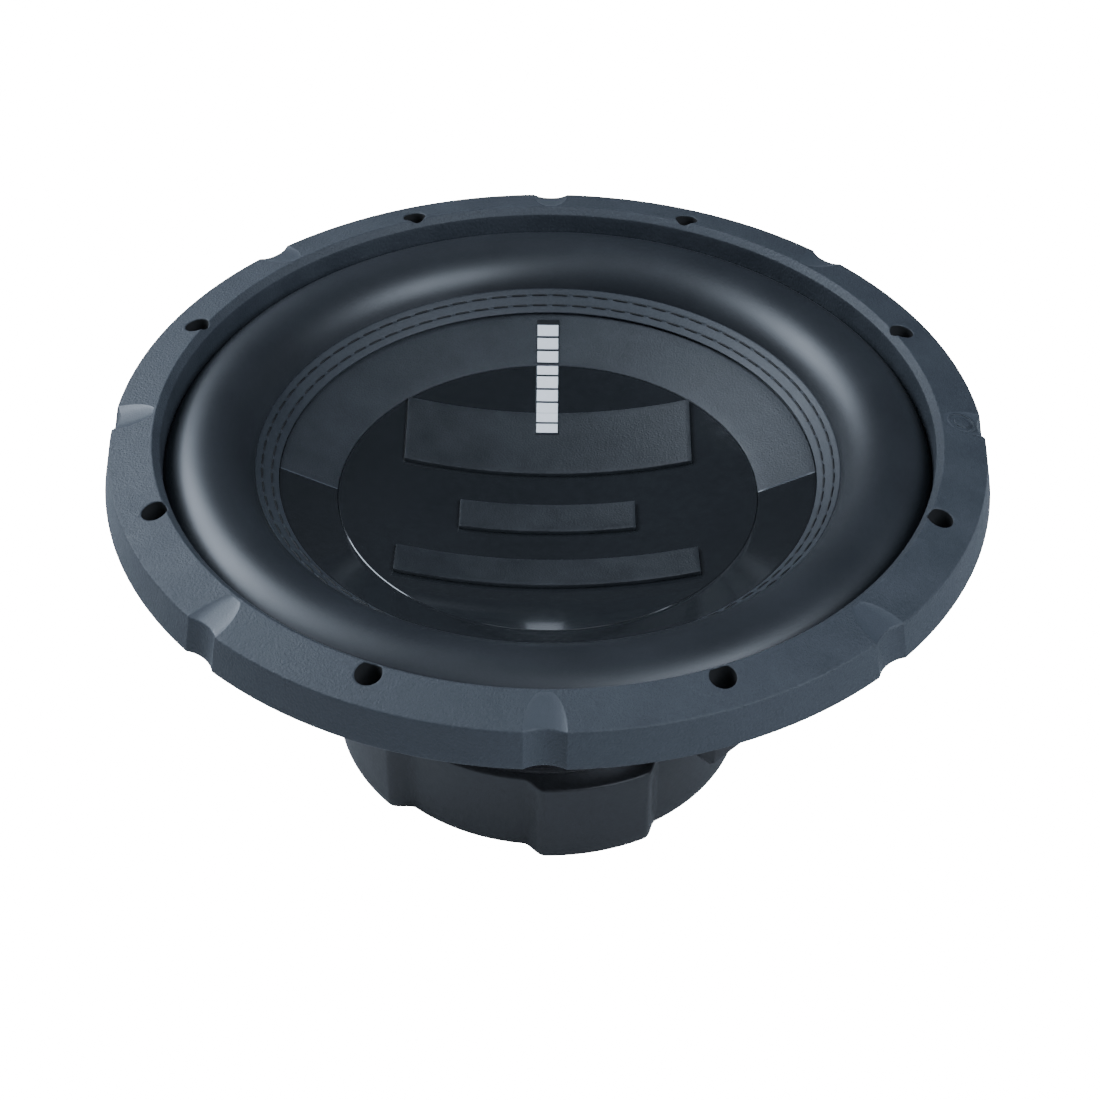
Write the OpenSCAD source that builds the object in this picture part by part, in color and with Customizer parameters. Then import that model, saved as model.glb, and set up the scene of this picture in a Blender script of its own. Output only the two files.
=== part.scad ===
// Twelve-inch car subwoofer, standing on its magnet boot, cone facing up.
// Millimetres, +Z up. The origin is the centre of the boot's underside.

/* [Mounting flange] */
// Radius of the circle that the screw holes lie on
hole_circle_r = 147; // [146.5:0.1:148]
// Number of screw holes in the flange
screw_count = 8; // [8]
// Radius of a screw hole in the steel flange
screw_hole_r = 3; // [2.5:0.1:3.5]
// Height of the flange's underside above the foot of the boot
seat_z = 130; // [129.5:0.1:130.5]
// Outer radius of the steel flange
flange_r = 157; // [156.5:0.1:158]
// Thickness of the stamped steel
sheet_t = 1.8; // [1.5:0.1:2]

/* [Rubber trim ring] */
// Inner radius of the ring's wall
trim_bore_r = 140.8; // [140.5:0.1:141]
// Radius of the top inner edge, above the chamfer
trim_lip_r = 143.3; // [142.5:0.1:144]
// Radius of the top outer edge
trim_top_r = 159.1; // [158.5:0.1:160]
// Radius at the foot of the flared outer wall
trim_foot_r = 162.1; // [161:0.1:163]
// Height of the top inner edge
trim_lip_z = 147.4; // [147:0.1:148]
// Height of the top outer edge
trim_edge_z = 143.8; // [143:0.1:144.5]
// Radius of the screw clearance holes in the rubber
trim_hole_r = 4.5; // [4:0.1:5]
// Number of finger notches around the ring
notch_count = 8; // [8]
// Depth of a notch in the outer wall
notch_depth = 2.1; // [1.5:0.1:3]
// Depth of a notch at the outer edge of the top face
groove_depth = 0.8; // [0.5:0.1:1.5]

/* [Surround] */
// Radius of the half-roll's outer surface
roll_r = 17.6; // [17.4:0.1:17.7]
// Thickness of the rubber
roll_t = 1.6; // [1.2:0.1:2]
// Radius of the roll's centre line from the axis
roll_mid_r = 124.9; // [124.8:0.1:125]
// Height of the roll's centre
roll_mid_z = 125.8; // [125.6:0.1:126]
// Outer radius of the surround's landing on the flange
lip_outer_r = 144; // [143.5:0.1:144]

/* [Cone] */
// Radius of the stitched band's outer edge
band_outer_r = 107.8; // [107.6:0.1:107.9]
// Height of the stitched band's outer edge
band_outer_z = 130.6; // [130.4:0.1:130.8]
// Radius of the stitched band's inner edge
band_inner_r = 100.8; // [100.5:0.1:101]
// Height of the stitched band's inner edge
band_inner_z = 125.2; // [125:0.1:125.4]
// Radius of the centre cap
cap_r = 78.7; // [78:0.1:79]
// Height of the centre cap's rim
cap_rim_z = 112.7; // [112.5:0.1:112.9]
// Height of the centre cap's lowest point
cap_low_z = 98; // [97.5:0.1:98.5]
// Thickness of the cone wall
cone_t = 1.5; // [1.3:0.1:1.7]
// Half width of the raised bars on the centre cap
bar_half_w = 55.4; // [50:0.1:55.5]
// Height of the raised bars above the cap
bar_t = 1.6; // [1:0.1:1.8]

/* [Voice coil and spider] */
// Outer radius of the voice-coil former
former_r = 32.1; // [32:0.05:32.15]
// Thickness of the former
former_t = 0.35; // [0.3:0.05:0.4]
// Thickness of one winding layer
wire_t = 0.6; // [0.5:0.05:0.6]
// Length of the winding
coil_h = 30; // [28:0.5:30]
// Height of the lower end of the former
former_z = 25.5; // [25.5:0.1:26]
// Number of rolls in the spider
spider_rolls = 6; // [5:1:7]
// Height of a spider roll on each side of its middle
spider_amp = 2; // [1.5:0.1:2.2]

/* [Motor] */
// Radius of the steel back plate
back_plate_r = 74; // [73:0.5:74.5]
// Thickness of the back plate
back_plate_t = 10; // [10]
// Radius of the pole
pole_r = 30.8; // [30.6:0.1:30.9]
// Radius of the vent through the pole
vent_r = 12.5; // [11:0.5:13]
// Radius of the ferrite rings
magnet_r = 75; // [74.5:0.1:75]
// Thickness of one ferrite ring
magnet_t = 12; // [12]
// Bore of the ferrite rings
magnet_bore_r = 42; // [41:0.5:43]
// Radius of the top plate
top_plate_r = 72; // [70:0.5:73]
// Bore of the top plate around the coil
gap_outer_r = 34.1; // [34.0:0.05:34.3]

/* [Magnet boot] */
// Outer radius of the boot at its raised lobes
lobe_r = 84.4; // [83:0.1:85]
// Outer radius of the boot between the lobes
boot_r = 78.7; // [78:0.1:79.5]
// Height of the boot
boot_h = 37.2; // [36.8:0.1:38]
// Thickness of the boot's floor
boot_floor = 2.5; // [2.5]

/* [Push terminals] */
// Radial place of the buttons
button_x = 91; // [90.8:0.1:91.2]
// Half of the distance between the two buttons of a block
button_y = 9; // [8.8:0.1:9.2]
// Radius of a button's stem
stem_r = 3.2; // [3.1:0.05:3.25]
// Travel of a button
button_travel = 3; // [2.5:0.1:3]

/* [Hidden] */
$fn = 96;

// Heights of the motor stack, from the boot's floor upwards.
plate_z = boot_floor + back_plate_t;
magnet_mid_z = plate_z + magnet_t;
top_plate_z = magnet_mid_z + magnet_t;
basket_z = top_plate_z + 10;
shelf_z = 68;

// The basket's wall runs in straight stretches from the floor to the flange.
floor_bore_r = 44;
cup_foot_r = 58;
cup_top_r = 66;
leg_foot_r = 84;
leg_top_r = 136;

// A wall offset by the sheet thickness: the radius of its inner face at height z.
function inner_r(r0, z0, r1, z1, z) =
    let (run = norm([r1 - r0, z1 - z0]))
    r0 + (z - z0) * (r1 - r0) / (z1 - z0) - sheet_t * run / (z1 - z0);

basket_section = [
    [floor_bore_r, basket_z],
    [cup_foot_r, basket_z],
    [cup_top_r, shelf_z],
    [leg_foot_r, shelf_z],
    [leg_top_r, seat_z],
    [flange_r, seat_z],
    [flange_r, seat_z + sheet_t],
    [inner_r(leg_foot_r, shelf_z, leg_top_r, seat_z, seat_z + sheet_t), seat_z + sheet_t],
    [inner_r(leg_foot_r, shelf_z, leg_top_r, seat_z, shelf_z + sheet_t), shelf_z + sheet_t],
    [inner_r(cup_foot_r, basket_z, cup_top_r, shelf_z, shelf_z + sheet_t), shelf_z + sheet_t],
    [inner_r(cup_foot_r, basket_z, cup_top_r, shelf_z, basket_z + sheet_t), basket_z + sheet_t],
    [floor_bore_r, basket_z + sheet_t]];

// Four wide windows face the X and Y axes; four slots split the legs between them.
window_low_z = 77;
window_high_z = 121;

// Six screws hold the basket's floor to the top plate.
motor_screw_count = 6;
motor_screw_circle = 50;
motor_screw_r = 2.5;

// The terminal blocks hang under the legs at these azimuths.
left_azimuth = 135;
right_azimuth = -45;
block_z = 54;
block_half_w = 18.5;
block_in_x = 73;
block_out_x = 105;
boss_x = 78;
boss_y = 4.5;
terminal_screw_y = 14.5;
wire_x = 98.3;
wire_hole_r = 2;
wire_hole_depth = 12;
stem_clearance = 0.08;
stem_top_z = 66;
cap_top_z = 50.4;
spring_h = 7;

// The dished cap is part of a sphere whose centre lies above it.
dish_r = (pow(cap_r, 2) + pow(cap_rim_z - cap_low_z, 2)) / (2 * (cap_rim_z - cap_low_z));
dish_z = cap_low_z + dish_r;
cap_t = 1.25;
neck_z = 86.5;
neck_h = 4.5;
neck_t = 1.2;
eyelet_x = 40;
tail_z = 76.4;

// Points of an arc about [x, y], from angle a to angle b.
function arc(x, y, r, a, b, n = 8) =
    [for (i = [0:n]) [x + r * cos(a + (b - a) * i / n), y + r * sin(a + (b - a) * i / n)]];

// A four-sided outline, wider at the top, with rounded corners.
function rounded_window(low_w, high_w, low_z, high_z, r) = concat(
    arc(low_w - r, low_z + r, r, -90, 0),
    arc(high_w - r, high_z - r, r, 0, 90),
    arc(r - high_w, high_z - r, r, 90, 180),
    arc(r - low_w, low_z + r, r, 180, 270));

// Repeats its children round the axis.
module around(count, start = 0) {
    for (i = [0:count - 1])
        rotate([0, 0, start + i * 360 / count]) children();
}

// Places what is drawn along +X at both terminal blocks.
module at_blocks() {
    for (azimuth = [left_azimuth, right_azimuth])
        rotate([0, 0, azimuth]) children();
}

// A radial cut through the basket wall, from an outline in the Y-Z plane.
module wall_cut(outline) {
    translate([leg_foot_r - 14, 0, 0])
        rotate([90, 0, 90])
            linear_extrude(leg_top_r - leg_foot_r + 30) polygon(outline);
}

// Stamped steel basket: flange, four double legs, spider shelf and floor cup.
module basket() {
    color("#2a2c30")
        difference() {
            rotate_extrude() polygon(basket_section);
            around(4)
                wall_cut(rounded_window(44, 58, window_low_z, window_high_z, 9));
            around(4, 45)
                wall_cut(rounded_window(5, 8, window_low_z + 10, window_high_z - 5, 4.5));
            around(screw_count, 180 / screw_count)
                translate([hole_circle_r, 0, seat_z - 1]) cylinder(r = screw_hole_r, h = sheet_t + 2);
            around(motor_screw_count)
                translate([motor_screw_circle, 0, basket_z - 1]) cylinder(r = motor_screw_r, h = sheet_t + 2);
            at_blocks() {
                terminal_bosses();
                for (y = [-terminal_screw_y, terminal_screw_y])
                    translate([boss_x, y, shelf_z - 1]) cylinder(r = 1.6, h = sheet_t + 2);
            }
        }
}

// Cuts one notch: a scallop down the flared wall and a groove across the top face.
module trim_notch() {
    wall_tilt = atan((trim_foot_r - trim_top_r) / (trim_edge_z - seat_z));
    scallop_r = 12.3;
    translate([trim_foot_r, 0, seat_z])
        rotate([0, -wall_tilt, 0])
            translate([scallop_r - notch_depth, 0, 0])
                cylinder(r = scallop_r, h = 50, center = true);
    groove_tilt = 15.8;
    groove_r = 31;
    translate([trim_top_r, 0, trim_edge_z - groove_depth])
        rotate([0, groove_tilt, 0])
            translate([0, 0, groove_r])
                rotate([0, 90, 0]) cylinder(r = groove_r, h = 44, center = true);
}

// Moulded rubber trim ring over the flange, with a plain round boss in one notch.
module gasket_ring() {
    face_tilt = atan((trim_lip_z - trim_edge_z) / (trim_top_r - trim_lip_r));
    chamfer = trim_lip_r - trim_bore_r;
    clamp_z = seat_z + sheet_t + roll_t;
    color("#3d4650") {
        difference() {
            rotate_extrude()
                polygon([
                    [trim_bore_r, clamp_z],
                    [lip_outer_r, clamp_z],
                    [lip_outer_r, seat_z + sheet_t],
                    [flange_r, seat_z + sheet_t],
                    [flange_r, seat_z],
                    [trim_foot_r, seat_z],
                    [trim_top_r, trim_edge_z],
                    [trim_lip_r, trim_lip_z],
                    [trim_bore_r, trim_lip_z - chamfer]]);
            around(notch_count) trim_notch();
            around(screw_count, 180 / screw_count)
                translate([hole_circle_r, 0, seat_z]) cylinder(r = trim_hole_r, h = 30);
        }
        boss_r = 5.6;
        translate([151.2, 0, trim_lip_z - (151.2 - trim_lip_r) * tan(face_tilt) - 4.1])
            rotate([0, face_tilt, 0])
                difference() {
                    cylinder(r = boss_r, h = 4);
                    translate([0, 0, 3.5])
                        difference() {
                            cylinder(r = boss_r - 1.2, h = 2);
                            translate([0, 0, -1]) cylinder(r = boss_r - 2.6, h = 4);
                        }
                }
    }
}

// Half-roll rubber surround with its outer landing on the flange.
module surround() {
    lip_z = seat_z + sheet_t;
    color("#23272c")
        rotate_extrude() {
            intersection() {
                translate([roll_mid_r, roll_mid_z])
                    difference() {
                        circle(r = roll_r);
                        circle(r = roll_r - roll_t);
                    }
                polygon([
                    [roll_mid_r, roll_mid_z],
                    [roll_mid_r + 5, lip_z],
                    [lip_outer_r, lip_z],
                    [lip_outer_r, roll_mid_z + 2 * roll_r],
                    [band_outer_r - 2, roll_mid_z + 2 * roll_r],
                    [band_outer_r - 2, band_outer_z + 0.5]]);
            }
            translate([138.6, lip_z]) square([lip_outer_r - 138.6, roll_t]);
        }
}

// Height of the spider's middle surface at radius r.
spider_inner_r = 35;
spider_outer_r = 66.5;
spider_t = 0.8;
spider_z = shelf_z + sheet_t;
function spider_mid(r) =
    spider_z + spider_amp + spider_t / 2
    - spider_amp * cos((spider_outer_r - r) / (spider_outer_r - spider_inner_r) * 360 * spider_rolls);

// Corrugated cloth spider between the shelf and the coil collar.
module spider() {
    steps = 12 * spider_rolls;
    radii = [for (i = [0:steps]) spider_inner_r + (spider_outer_r - spider_inner_r) * i / steps];
    collar_r = former_r + 0.5 + 0.3;
    top = [for (r = radii) [r, spider_mid(r) + spider_t / 2]];
    under = [for (i = [steps:-1:0]) [radii[i], spider_mid(radii[i]) - spider_t / 2]];
    color("#c9a227")
        rotate_extrude()
            polygon(concat(
                [[collar_r, spider_z], [collar_r, spider_z + 5], [collar_r + spider_t, spider_z + 5],
                    [collar_r + spider_t, spider_z + spider_t]],
                top,
                [[74, spider_z + spider_t], [74, spider_z]],
                under));
}

// Steel front plate of the motor.
module top_plate() {
    color("#55585c")
        difference() {
            rotate_extrude()
                polygon([
                    [gap_outer_r, top_plate_z],
                    [top_plate_r, top_plate_z],
                    [top_plate_r, basket_z - 1],
                    [top_plate_r - 1, basket_z],
                    [gap_outer_r, basket_z]]);
            around(motor_screw_count)
                translate([motor_screw_circle, 0, top_plate_z + 2]) cylinder(r = motor_screw_r, h = 10);
        }
}

// One ferrite ring with bevelled rims, standing at height z.
module ferrite_ring(z) {
    bevel = 1;
    color("#3a3a3c")
        rotate_extrude()
            polygon([
                [magnet_bore_r, z],
                [magnet_r - bevel, z],
                [magnet_r, z + bevel],
                [magnet_r, z + magnet_t - bevel],
                [magnet_r - bevel, z + magnet_t],
                [magnet_bore_r, z + magnet_t]]);
}

module magnet_upper() {
    ferrite_ring(magnet_mid_z);
}

module magnet_lower() {
    ferrite_ring(plate_z);
}

// Back plate and vented pole in one steel forging.
screen_r = 19.5;
screen_t = 0.8;
pole_top_z = basket_z + 4;
module yoke() {
    flare_z = boot_floor + screen_t;
    color("#6a6d72")
        rotate_extrude()
            polygon([
                [screen_r, boot_floor],
                [back_plate_r - 1, boot_floor],
                [back_plate_r, boot_floor + 1],
                [back_plate_r, plate_z],
                [pole_r, plate_z],
                [pole_r, pole_top_z],
                [vent_r, pole_top_z],
                [vent_r, flare_z + 8],
                [vent_r + 6, flare_z],
                [screen_r, flare_z]]);
}

// Aluminium ring that lines the magnets' bore.
module shorting_ring() {
    color("#b9bcc0")
        translate([0, 0, plate_z])
            difference() {
                cylinder(r = magnet_bore_r, h = 18);
                translate([0, 0, -1]) cylinder(r = magnet_bore_r - 4, h = 20);
            }
}

// Thin copper cap pressed over the top of the pole.
module pole_cap() {
    cap_wall = 0.4;
    color("#b87333")
        translate([0, 0, pole_top_z - 16])
            rotate_extrude()
                polygon([
                    [pole_r, 0],
                    [pole_r + cap_wall, 0],
                    [pole_r + cap_wall, 16 + cap_wall],
                    [vent_r, 16 + cap_wall],
                    [vent_r, 16],
                    [pole_r, 16]]);
}

// Section of the boot's wall from inner radius r0 to outer radius r1, bevelled at the foot.
module boot_wall(r0, r1) {
    bevel = 2.5;
    polygon([
        [r0, 0],
        [r1 - bevel, 0],
        [r1, bevel],
        [r1, boot_h - 0.6],
        [r1 - 0.6, boot_h],
        [r0, boot_h]]);
}

// Rubber boot over the magnets, with raised lobes between smooth recesses.
module magnet_boot() {
    lobes = [[180, 47], [267, 33], [0, 47], [87, 33]];
    floor_bore = 20;
    color("#2b2e33") {
        rotate_extrude()
            difference() {
                boot_wall(floor_bore, boot_r);
                translate([floor_bore - 1, boot_floor]) square([magnet_r - floor_bore + 1, boot_h]);
            }
        for (lobe = lobes)
            rotate([0, 0, lobe[0]])
                rotate_extrude(angle = lobe[1]) boot_wall(magnet_r + 1, lobe_r);
    }
}

// Perforated disc over the vent, let into the back plate.
module vent_screen() {
    color("#1c1d1f")
        translate([0, 0, boot_floor])
            difference() {
                cylinder(r = screen_r, h = screen_t);
                for (ring = [1:3])
                    around(6 * ring)
                        translate([ring * 4.6, 0, -1]) cylinder(r = 1.5, h = 3);
                translate([0, 0, -1]) cylinder(r = 1.5, h = 3);
            }
}

// Socket-head screws through the basket's floor into the top plate.
module motor_screws() {
    head_z = basket_z + sheet_t;
    color("#17181a")
        around(motor_screw_count)
            translate([motor_screw_circle, 0, 0]) {
                translate([0, 0, top_plate_z + 2]) cylinder(r = motor_screw_r, h = head_z - top_plate_z - 2);
                translate([0, 0, head_z])
                    difference() {
                        cylinder(r = 4.4, h = 3);
                        translate([0, 0, 1]) cylinder(r = 2.3, h = 3, $fn = 6);
                    }
            }
}

// Bosses of a terminal block that pass up through the basket's shelf.
module terminal_bosses() {
    for (y = [-boss_y, boss_y])
        translate([boss_x - 2.5, y - 2, shelf_z - 1]) cube([5, 4, sheet_t + 2]);
}

// One contact strip: a blade beside the wire hole, a run past the button and a tail.
module contact_strip(side) {
    strip_t = 0.6;
    blade_x = wire_x - wire_hole_r - 0.3 - strip_t;
    low_z = 60;
    run_z = 66;
    inner_y = boss_y - strip_t / 2;
    mirror([0, side < 0 ? 1 : 0, 0]) {
        translate([blade_x, inner_y, low_z]) cube([strip_t, button_y + 2 - inner_y, run_z - low_z]);
        translate([boss_x - 2, inner_y, low_z]) cube([blade_x + strip_t - boss_x + 2, strip_t, run_z - low_z]);
        translate([boss_x - 2, inner_y, low_z]) cube([4, strip_t, tail_z - low_z]);
    }
}

// Moulded housing of a two-way push terminal, shaped to the leg above it.
module terminal_block() {
    difference() {
        union() {
            difference() {
                translate([0, block_half_w, 0])
                    rotate([90, 0, 0])
                        linear_extrude(2 * block_half_w)
                            polygon([
                                [block_in_x, block_z],
                                [block_out_x - 2, block_z],
                                [block_out_x, block_z + 2],
                                [block_out_x, 71],
                                [96, 82],
                                [block_in_x, 82]]);
                rotate_extrude()
                    polygon([[0, shelf_z], [leg_foot_r, shelf_z], [leg_top_r, seat_z], [leg_top_r, 150], [0, 150]]);
            }
            terminal_bosses();
        }
        for (side = [-1, 1]) {
            translate([button_x, side * button_y, block_z - 1])
                cylinder(r = stem_r + stem_clearance, h = stem_top_z + spring_h - block_z + 1);
            translate([wire_x, side * button_y, block_z - 1])
                cylinder(r = wire_hole_r, h = wire_hole_depth + 1);
            translate([boss_x, side * terminal_screw_y, shelf_z - 10]) cylinder(r = 1.5, h = 12);
            contact_strip(side);
        }
    }
}

module terminal_block_left() {
    color("#1a1b1d") rotate([0, 0, left_azimuth]) terminal_block();
}

module terminal_block_right() {
    color("#1a1b1d") rotate([0, 0, right_azimuth]) terminal_block();
}

// Pan-head screws that hold the terminal blocks under the shelf.
module terminal_screws() {
    head_z = shelf_z + sheet_t;
    color("#8d9095")
        at_blocks()
            for (y = [-terminal_screw_y, terminal_screw_y])
                translate([boss_x, y, 0]) {
                    translate([0, 0, shelf_z - 10]) cylinder(r = 1.5, h = head_z - shelf_z + 10);
                    translate([0, 0, head_z]) cylinder(r1 = 2.8, r2 = 2, h = 1.6);
                }
}

// Contact strips: a blade between button and wire, and a solder tail above the shelf.
module contacts_left() {
    color("#c8a951")
        rotate([0, 0, left_azimuth])
            for (side = [-1, 1]) contact_strip(side);
}

module contacts_right() {
    color("#c8a951")
        rotate([0, 0, right_azimuth])
            for (side = [-1, 1]) contact_strip(side);
}

// Round coil spring of wire radius w, swept as a closed tube along a helix.
module coil_spring(r, w, turns, h) {
    sides = 6;
    steps = 14;
    count = turns * steps;
    ring = [for (i = [0:count], j = [0:sides - 1])
        let (a = i * 360 / steps, b = j * 360 / sides)
        [(r + w * cos(b)) * cos(a), (r + w * cos(b)) * sin(a), w + (h - 2 * w) * i / count + w * sin(b)]];
    walls = [for (i = [0:count - 1], j = [0:sides - 1])
        let (k = (j + 1) % sides)
        [i * sides + j, (i + 1) * sides + j, (i + 1) * sides + k, i * sides + k]];
    caps = [[for (j = [0:sides - 1]) j], [for (j = [sides - 1:-1:0]) count * sides + j]];
    polyhedron(points = ring, faces = concat(walls, caps));
}

// Return spring above a button's stem.
module button_spring(azimuth, side) {
    color("#b0b3b8")
        rotate([0, 0, azimuth])
            translate([button_x, side * button_y, stem_top_z]) coil_spring(2.4, 0.3, 4, spring_h);
}

module button_spring_left_red() {
    button_spring(left_azimuth, 1);
}

module button_spring_left_black() {
    button_spring(left_azimuth, -1);
}

module button_spring_right_red() {
    button_spring(right_azimuth, 1);
}

module button_spring_right_black() {
    button_spring(right_azimuth, -1);
}

// Push button: a domed square cap below the block and a stem up into its bore.
module push_button(azimuth, side) {
    cap_w = 8.6;
    cap_h = 4.6;
    rotate([0, 0, azimuth])
        translate([button_x, side * button_y, 0]) {
            translate([0, 0, cap_top_z]) cylinder(r = stem_r, h = stem_top_z - cap_top_z);
            translate([-cap_w / 2, -cap_w / 2, cap_top_z - cap_h + 1]) cube([cap_w, cap_w, cap_h - 1]);
            translate([0, 0, cap_top_z - cap_h]) cylinder(r1 = 3.2, r2 = 4, h = 1.2);
        }
}

module button_left_red() {
    color("#a81c1c") push_button(left_azimuth, 1);
}

module button_left_black() {
    color("#141414") push_button(left_azimuth, -1);
}

module button_right_red() {
    color("#a81c1c") push_button(right_azimuth, 1);
}

module button_right_black() {
    color("#141414") push_button(right_azimuth, -1);
}

// Centre of the circle through three points of a plane.
function centre_of(a, b, c) =
    let (
        d = 2 * (a.x * (b.y - c.y) + b.x * (c.y - a.y) + c.x * (a.y - b.y)),
        ux = (a * a) * (b.y - c.y) + (b * b) * (c.y - a.y) + (c * c) * (a.y - b.y),
        uy = (a * a) * (c.x - b.x) + (b * b) * (a.x - c.x) + (c * c) * (b.x - a.x))
    [ux / d, uy / d];

// Braided lead in one arc from the eyelet under the cone to a contact's tail.
module tinsel_lead(azimuth, side) {
    lead_r = 0.9;
    start = [eyelet_x + 2.3, 86.4];
    top = [62, 86.5];
    end = [boss_x + 4.1, 75.2];
    middle = centre_of(start, top, end);
    reach = norm(start - middle);
    from = atan2(end.y - middle.y, end.x - middle.x);
    to = atan2(start.y - middle.y, start.x - middle.x);
    color("#c7c9cc")
        rotate([0, 0, azimuth + side * atan(boss_y / boss_x)])
            translate([middle.x, 0, middle.y])
                rotate([90, 0, 0])
                    rotate([0, 0, from])
                        rotate_extrude(angle = to - from)
                            translate([reach, 0]) circle(r = lead_r);
}

module tinsel_lead_left_a() {
    tinsel_lead(left_azimuth, 1);
}

module tinsel_lead_left_b() {
    tinsel_lead(left_azimuth, -1);
}

module tinsel_lead_right_a() {
    tinsel_lead(right_azimuth, 1);
}

module tinsel_lead_right_b() {
    tinsel_lead(right_azimuth, -1);
}

// Section of the cone: neck, straight body, ledge for the cap and land for the band.
cone_ledge_z = cap_rim_z - cap_t;
cone_section = [
    [former_r, neck_z - neck_h],
    [former_r + neck_t, neck_z - neck_h],
    [former_r + neck_t, neck_z - cone_t],
    [cap_r, cone_ledge_z - cone_t],
    [band_inner_r, band_inner_z - 1.5 - cone_t],
    [band_outer_r, band_outer_z - 1.5 - cone_t],
    [band_outer_r, band_outer_z - 1.5],
    [band_inner_r, band_inner_z - 1.5],
    [cap_r, cap_rim_z],
    [cap_r, cone_ledge_z],
    [former_r, neck_z]];

// Moulded cone.
module cone() {
    color("#33383d")
        rotate_extrude() polygon(cone_section);
}

// Rubber band that the surround is stitched to the cone with.
module edge_band() {
    color("#2d3237")
        rotate_extrude()
            polygon([
                [band_inner_r, band_inner_z - 1.5],
                [band_outer_r, band_outer_z - 1.5],
                [band_outer_r, band_outer_z],
                [band_inner_r, band_inner_z]]);
}

// A layer of the dish between two depths below its surface, cut to the cap's radius.
module dish_layer(above, below) {
    intersection() {
        translate([0, 0, cap_low_z - 5]) cylinder(r = cap_r - 0.1, h = 40);
        difference() {
            translate([0, 0, dish_z]) sphere(r = dish_r + below, $fn = 180);
            translate([0, 0, dish_z]) sphere(r = dish_r - above, $fn = 180);
        }
    }
}

// Dished centre cap.
module centre_cap() {
    color("#17191c") dish_layer(0, cap_t);
}

// A raised bar on the cap, from y0 to y1, w wide to each side.
module raised_bar(w, y0, y1) {
    color("#33383d")
        intersection() {
            dish_layer(bar_t, 0);
            translate([-w, y0, 80]) cube([2 * w, y1 - y0, 60]);
        }
}

module upper_bar() {
    raised_bar(bar_half_w, 23.5, 55);
}

module middle_bar() {
    raised_bar(bar_half_w * 0.6, -10, 6);
}

module lower_bar() {
    raised_bar(bar_half_w, -45.6, -28);
}

// A plain tube standing at height z.
module tube(inner, outer, z, h) {
    translate([0, 0, z])
        difference() {
            cylinder(r = outer, h = h);
            translate([0, 0, -1]) cylinder(r = inner, h = h + 2);
        }
}

// Former that carries the coil up to the cone's neck.
module coil_former() {
    color("#a8702a") tube(former_r - former_t, former_r, former_z, neck_z - former_z);
}

// Paper collar over the former between the coil and the neck.
module coil_collar() {
    collar_z = former_z + 1 + coil_h;
    color("#20170f") tube(former_r, former_r + 0.5, collar_z, neck_z - neck_h - collar_z);
}

// Two layers of winding, one on the other.
module voice_coil_inner() {
    color("#b4531d") tube(former_r, former_r + wire_t, former_z + 1, coil_h);
}

module voice_coil_outer() {
    color("#c4622a") tube(former_r + wire_t, former_r + 2 * wire_t, former_z + 1, coil_h);
}

// Brass eyelets that hold the leads under the cone.
module lead_eyelets() {
    color("#c8a951")
        difference() {
            at_blocks()
                for (side = [-1, 1])
                    rotate([0, 0, side * atan(boss_y / boss_x)])
                        translate([eyelet_x, 0, neck_z - 1.6]) cylinder(r = 1.2, h = 8);
            rotate_extrude()
                polygon([
                    [0, neck_z - cone_t - (former_r + neck_t) * 0.54],
                    [former_r + neck_t, neck_z - cone_t],
                    [cap_r, cone_ledge_z - cone_t],
                    [cap_r, 150],
                    [0, 150]]);
        }
}

basket();
gasket_ring();
surround();
spider();
top_plate();
magnet_upper();
magnet_lower();
yoke();
shorting_ring();
pole_cap();
magnet_boot();
vent_screen();
motor_screws();
terminal_block_left();
terminal_block_right();
terminal_screws();
contacts_left();
contacts_right();
button_spring_left_red();
button_spring_left_black();
button_spring_right_red();
button_spring_right_black();
button_left_red();
button_left_black();
button_right_red();
button_right_black();
tinsel_lead_left_a();
tinsel_lead_left_b();
tinsel_lead_right_a();
tinsel_lead_right_b();
cone();
edge_band();
centre_cap();
upper_bar();
middle_bar();
lower_bar();
coil_former();
coil_collar();
voice_coil_inner();
voice_coil_outer();
lead_eyelets();
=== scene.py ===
"""Looks of a 12 inch class car subwoofer driver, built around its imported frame, in metres."""

import math

import bmesh
import bpy
import numpy as np
from mathutils import Matrix, Vector


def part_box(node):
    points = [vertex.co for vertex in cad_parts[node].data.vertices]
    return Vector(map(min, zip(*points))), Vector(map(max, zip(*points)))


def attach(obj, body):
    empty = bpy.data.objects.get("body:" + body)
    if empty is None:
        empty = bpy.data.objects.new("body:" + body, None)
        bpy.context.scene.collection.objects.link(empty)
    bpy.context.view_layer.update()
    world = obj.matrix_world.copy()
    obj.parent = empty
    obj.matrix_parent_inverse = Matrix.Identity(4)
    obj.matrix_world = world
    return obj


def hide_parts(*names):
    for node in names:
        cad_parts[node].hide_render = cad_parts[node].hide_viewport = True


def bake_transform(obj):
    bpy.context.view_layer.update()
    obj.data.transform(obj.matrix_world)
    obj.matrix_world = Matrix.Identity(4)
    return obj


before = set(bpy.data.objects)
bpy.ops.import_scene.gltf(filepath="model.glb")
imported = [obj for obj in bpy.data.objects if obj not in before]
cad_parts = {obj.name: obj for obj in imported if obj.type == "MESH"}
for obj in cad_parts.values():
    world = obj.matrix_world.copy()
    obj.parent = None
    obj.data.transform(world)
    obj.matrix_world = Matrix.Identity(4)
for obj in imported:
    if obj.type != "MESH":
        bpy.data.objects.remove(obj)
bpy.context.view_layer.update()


mm = 0.001


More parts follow.
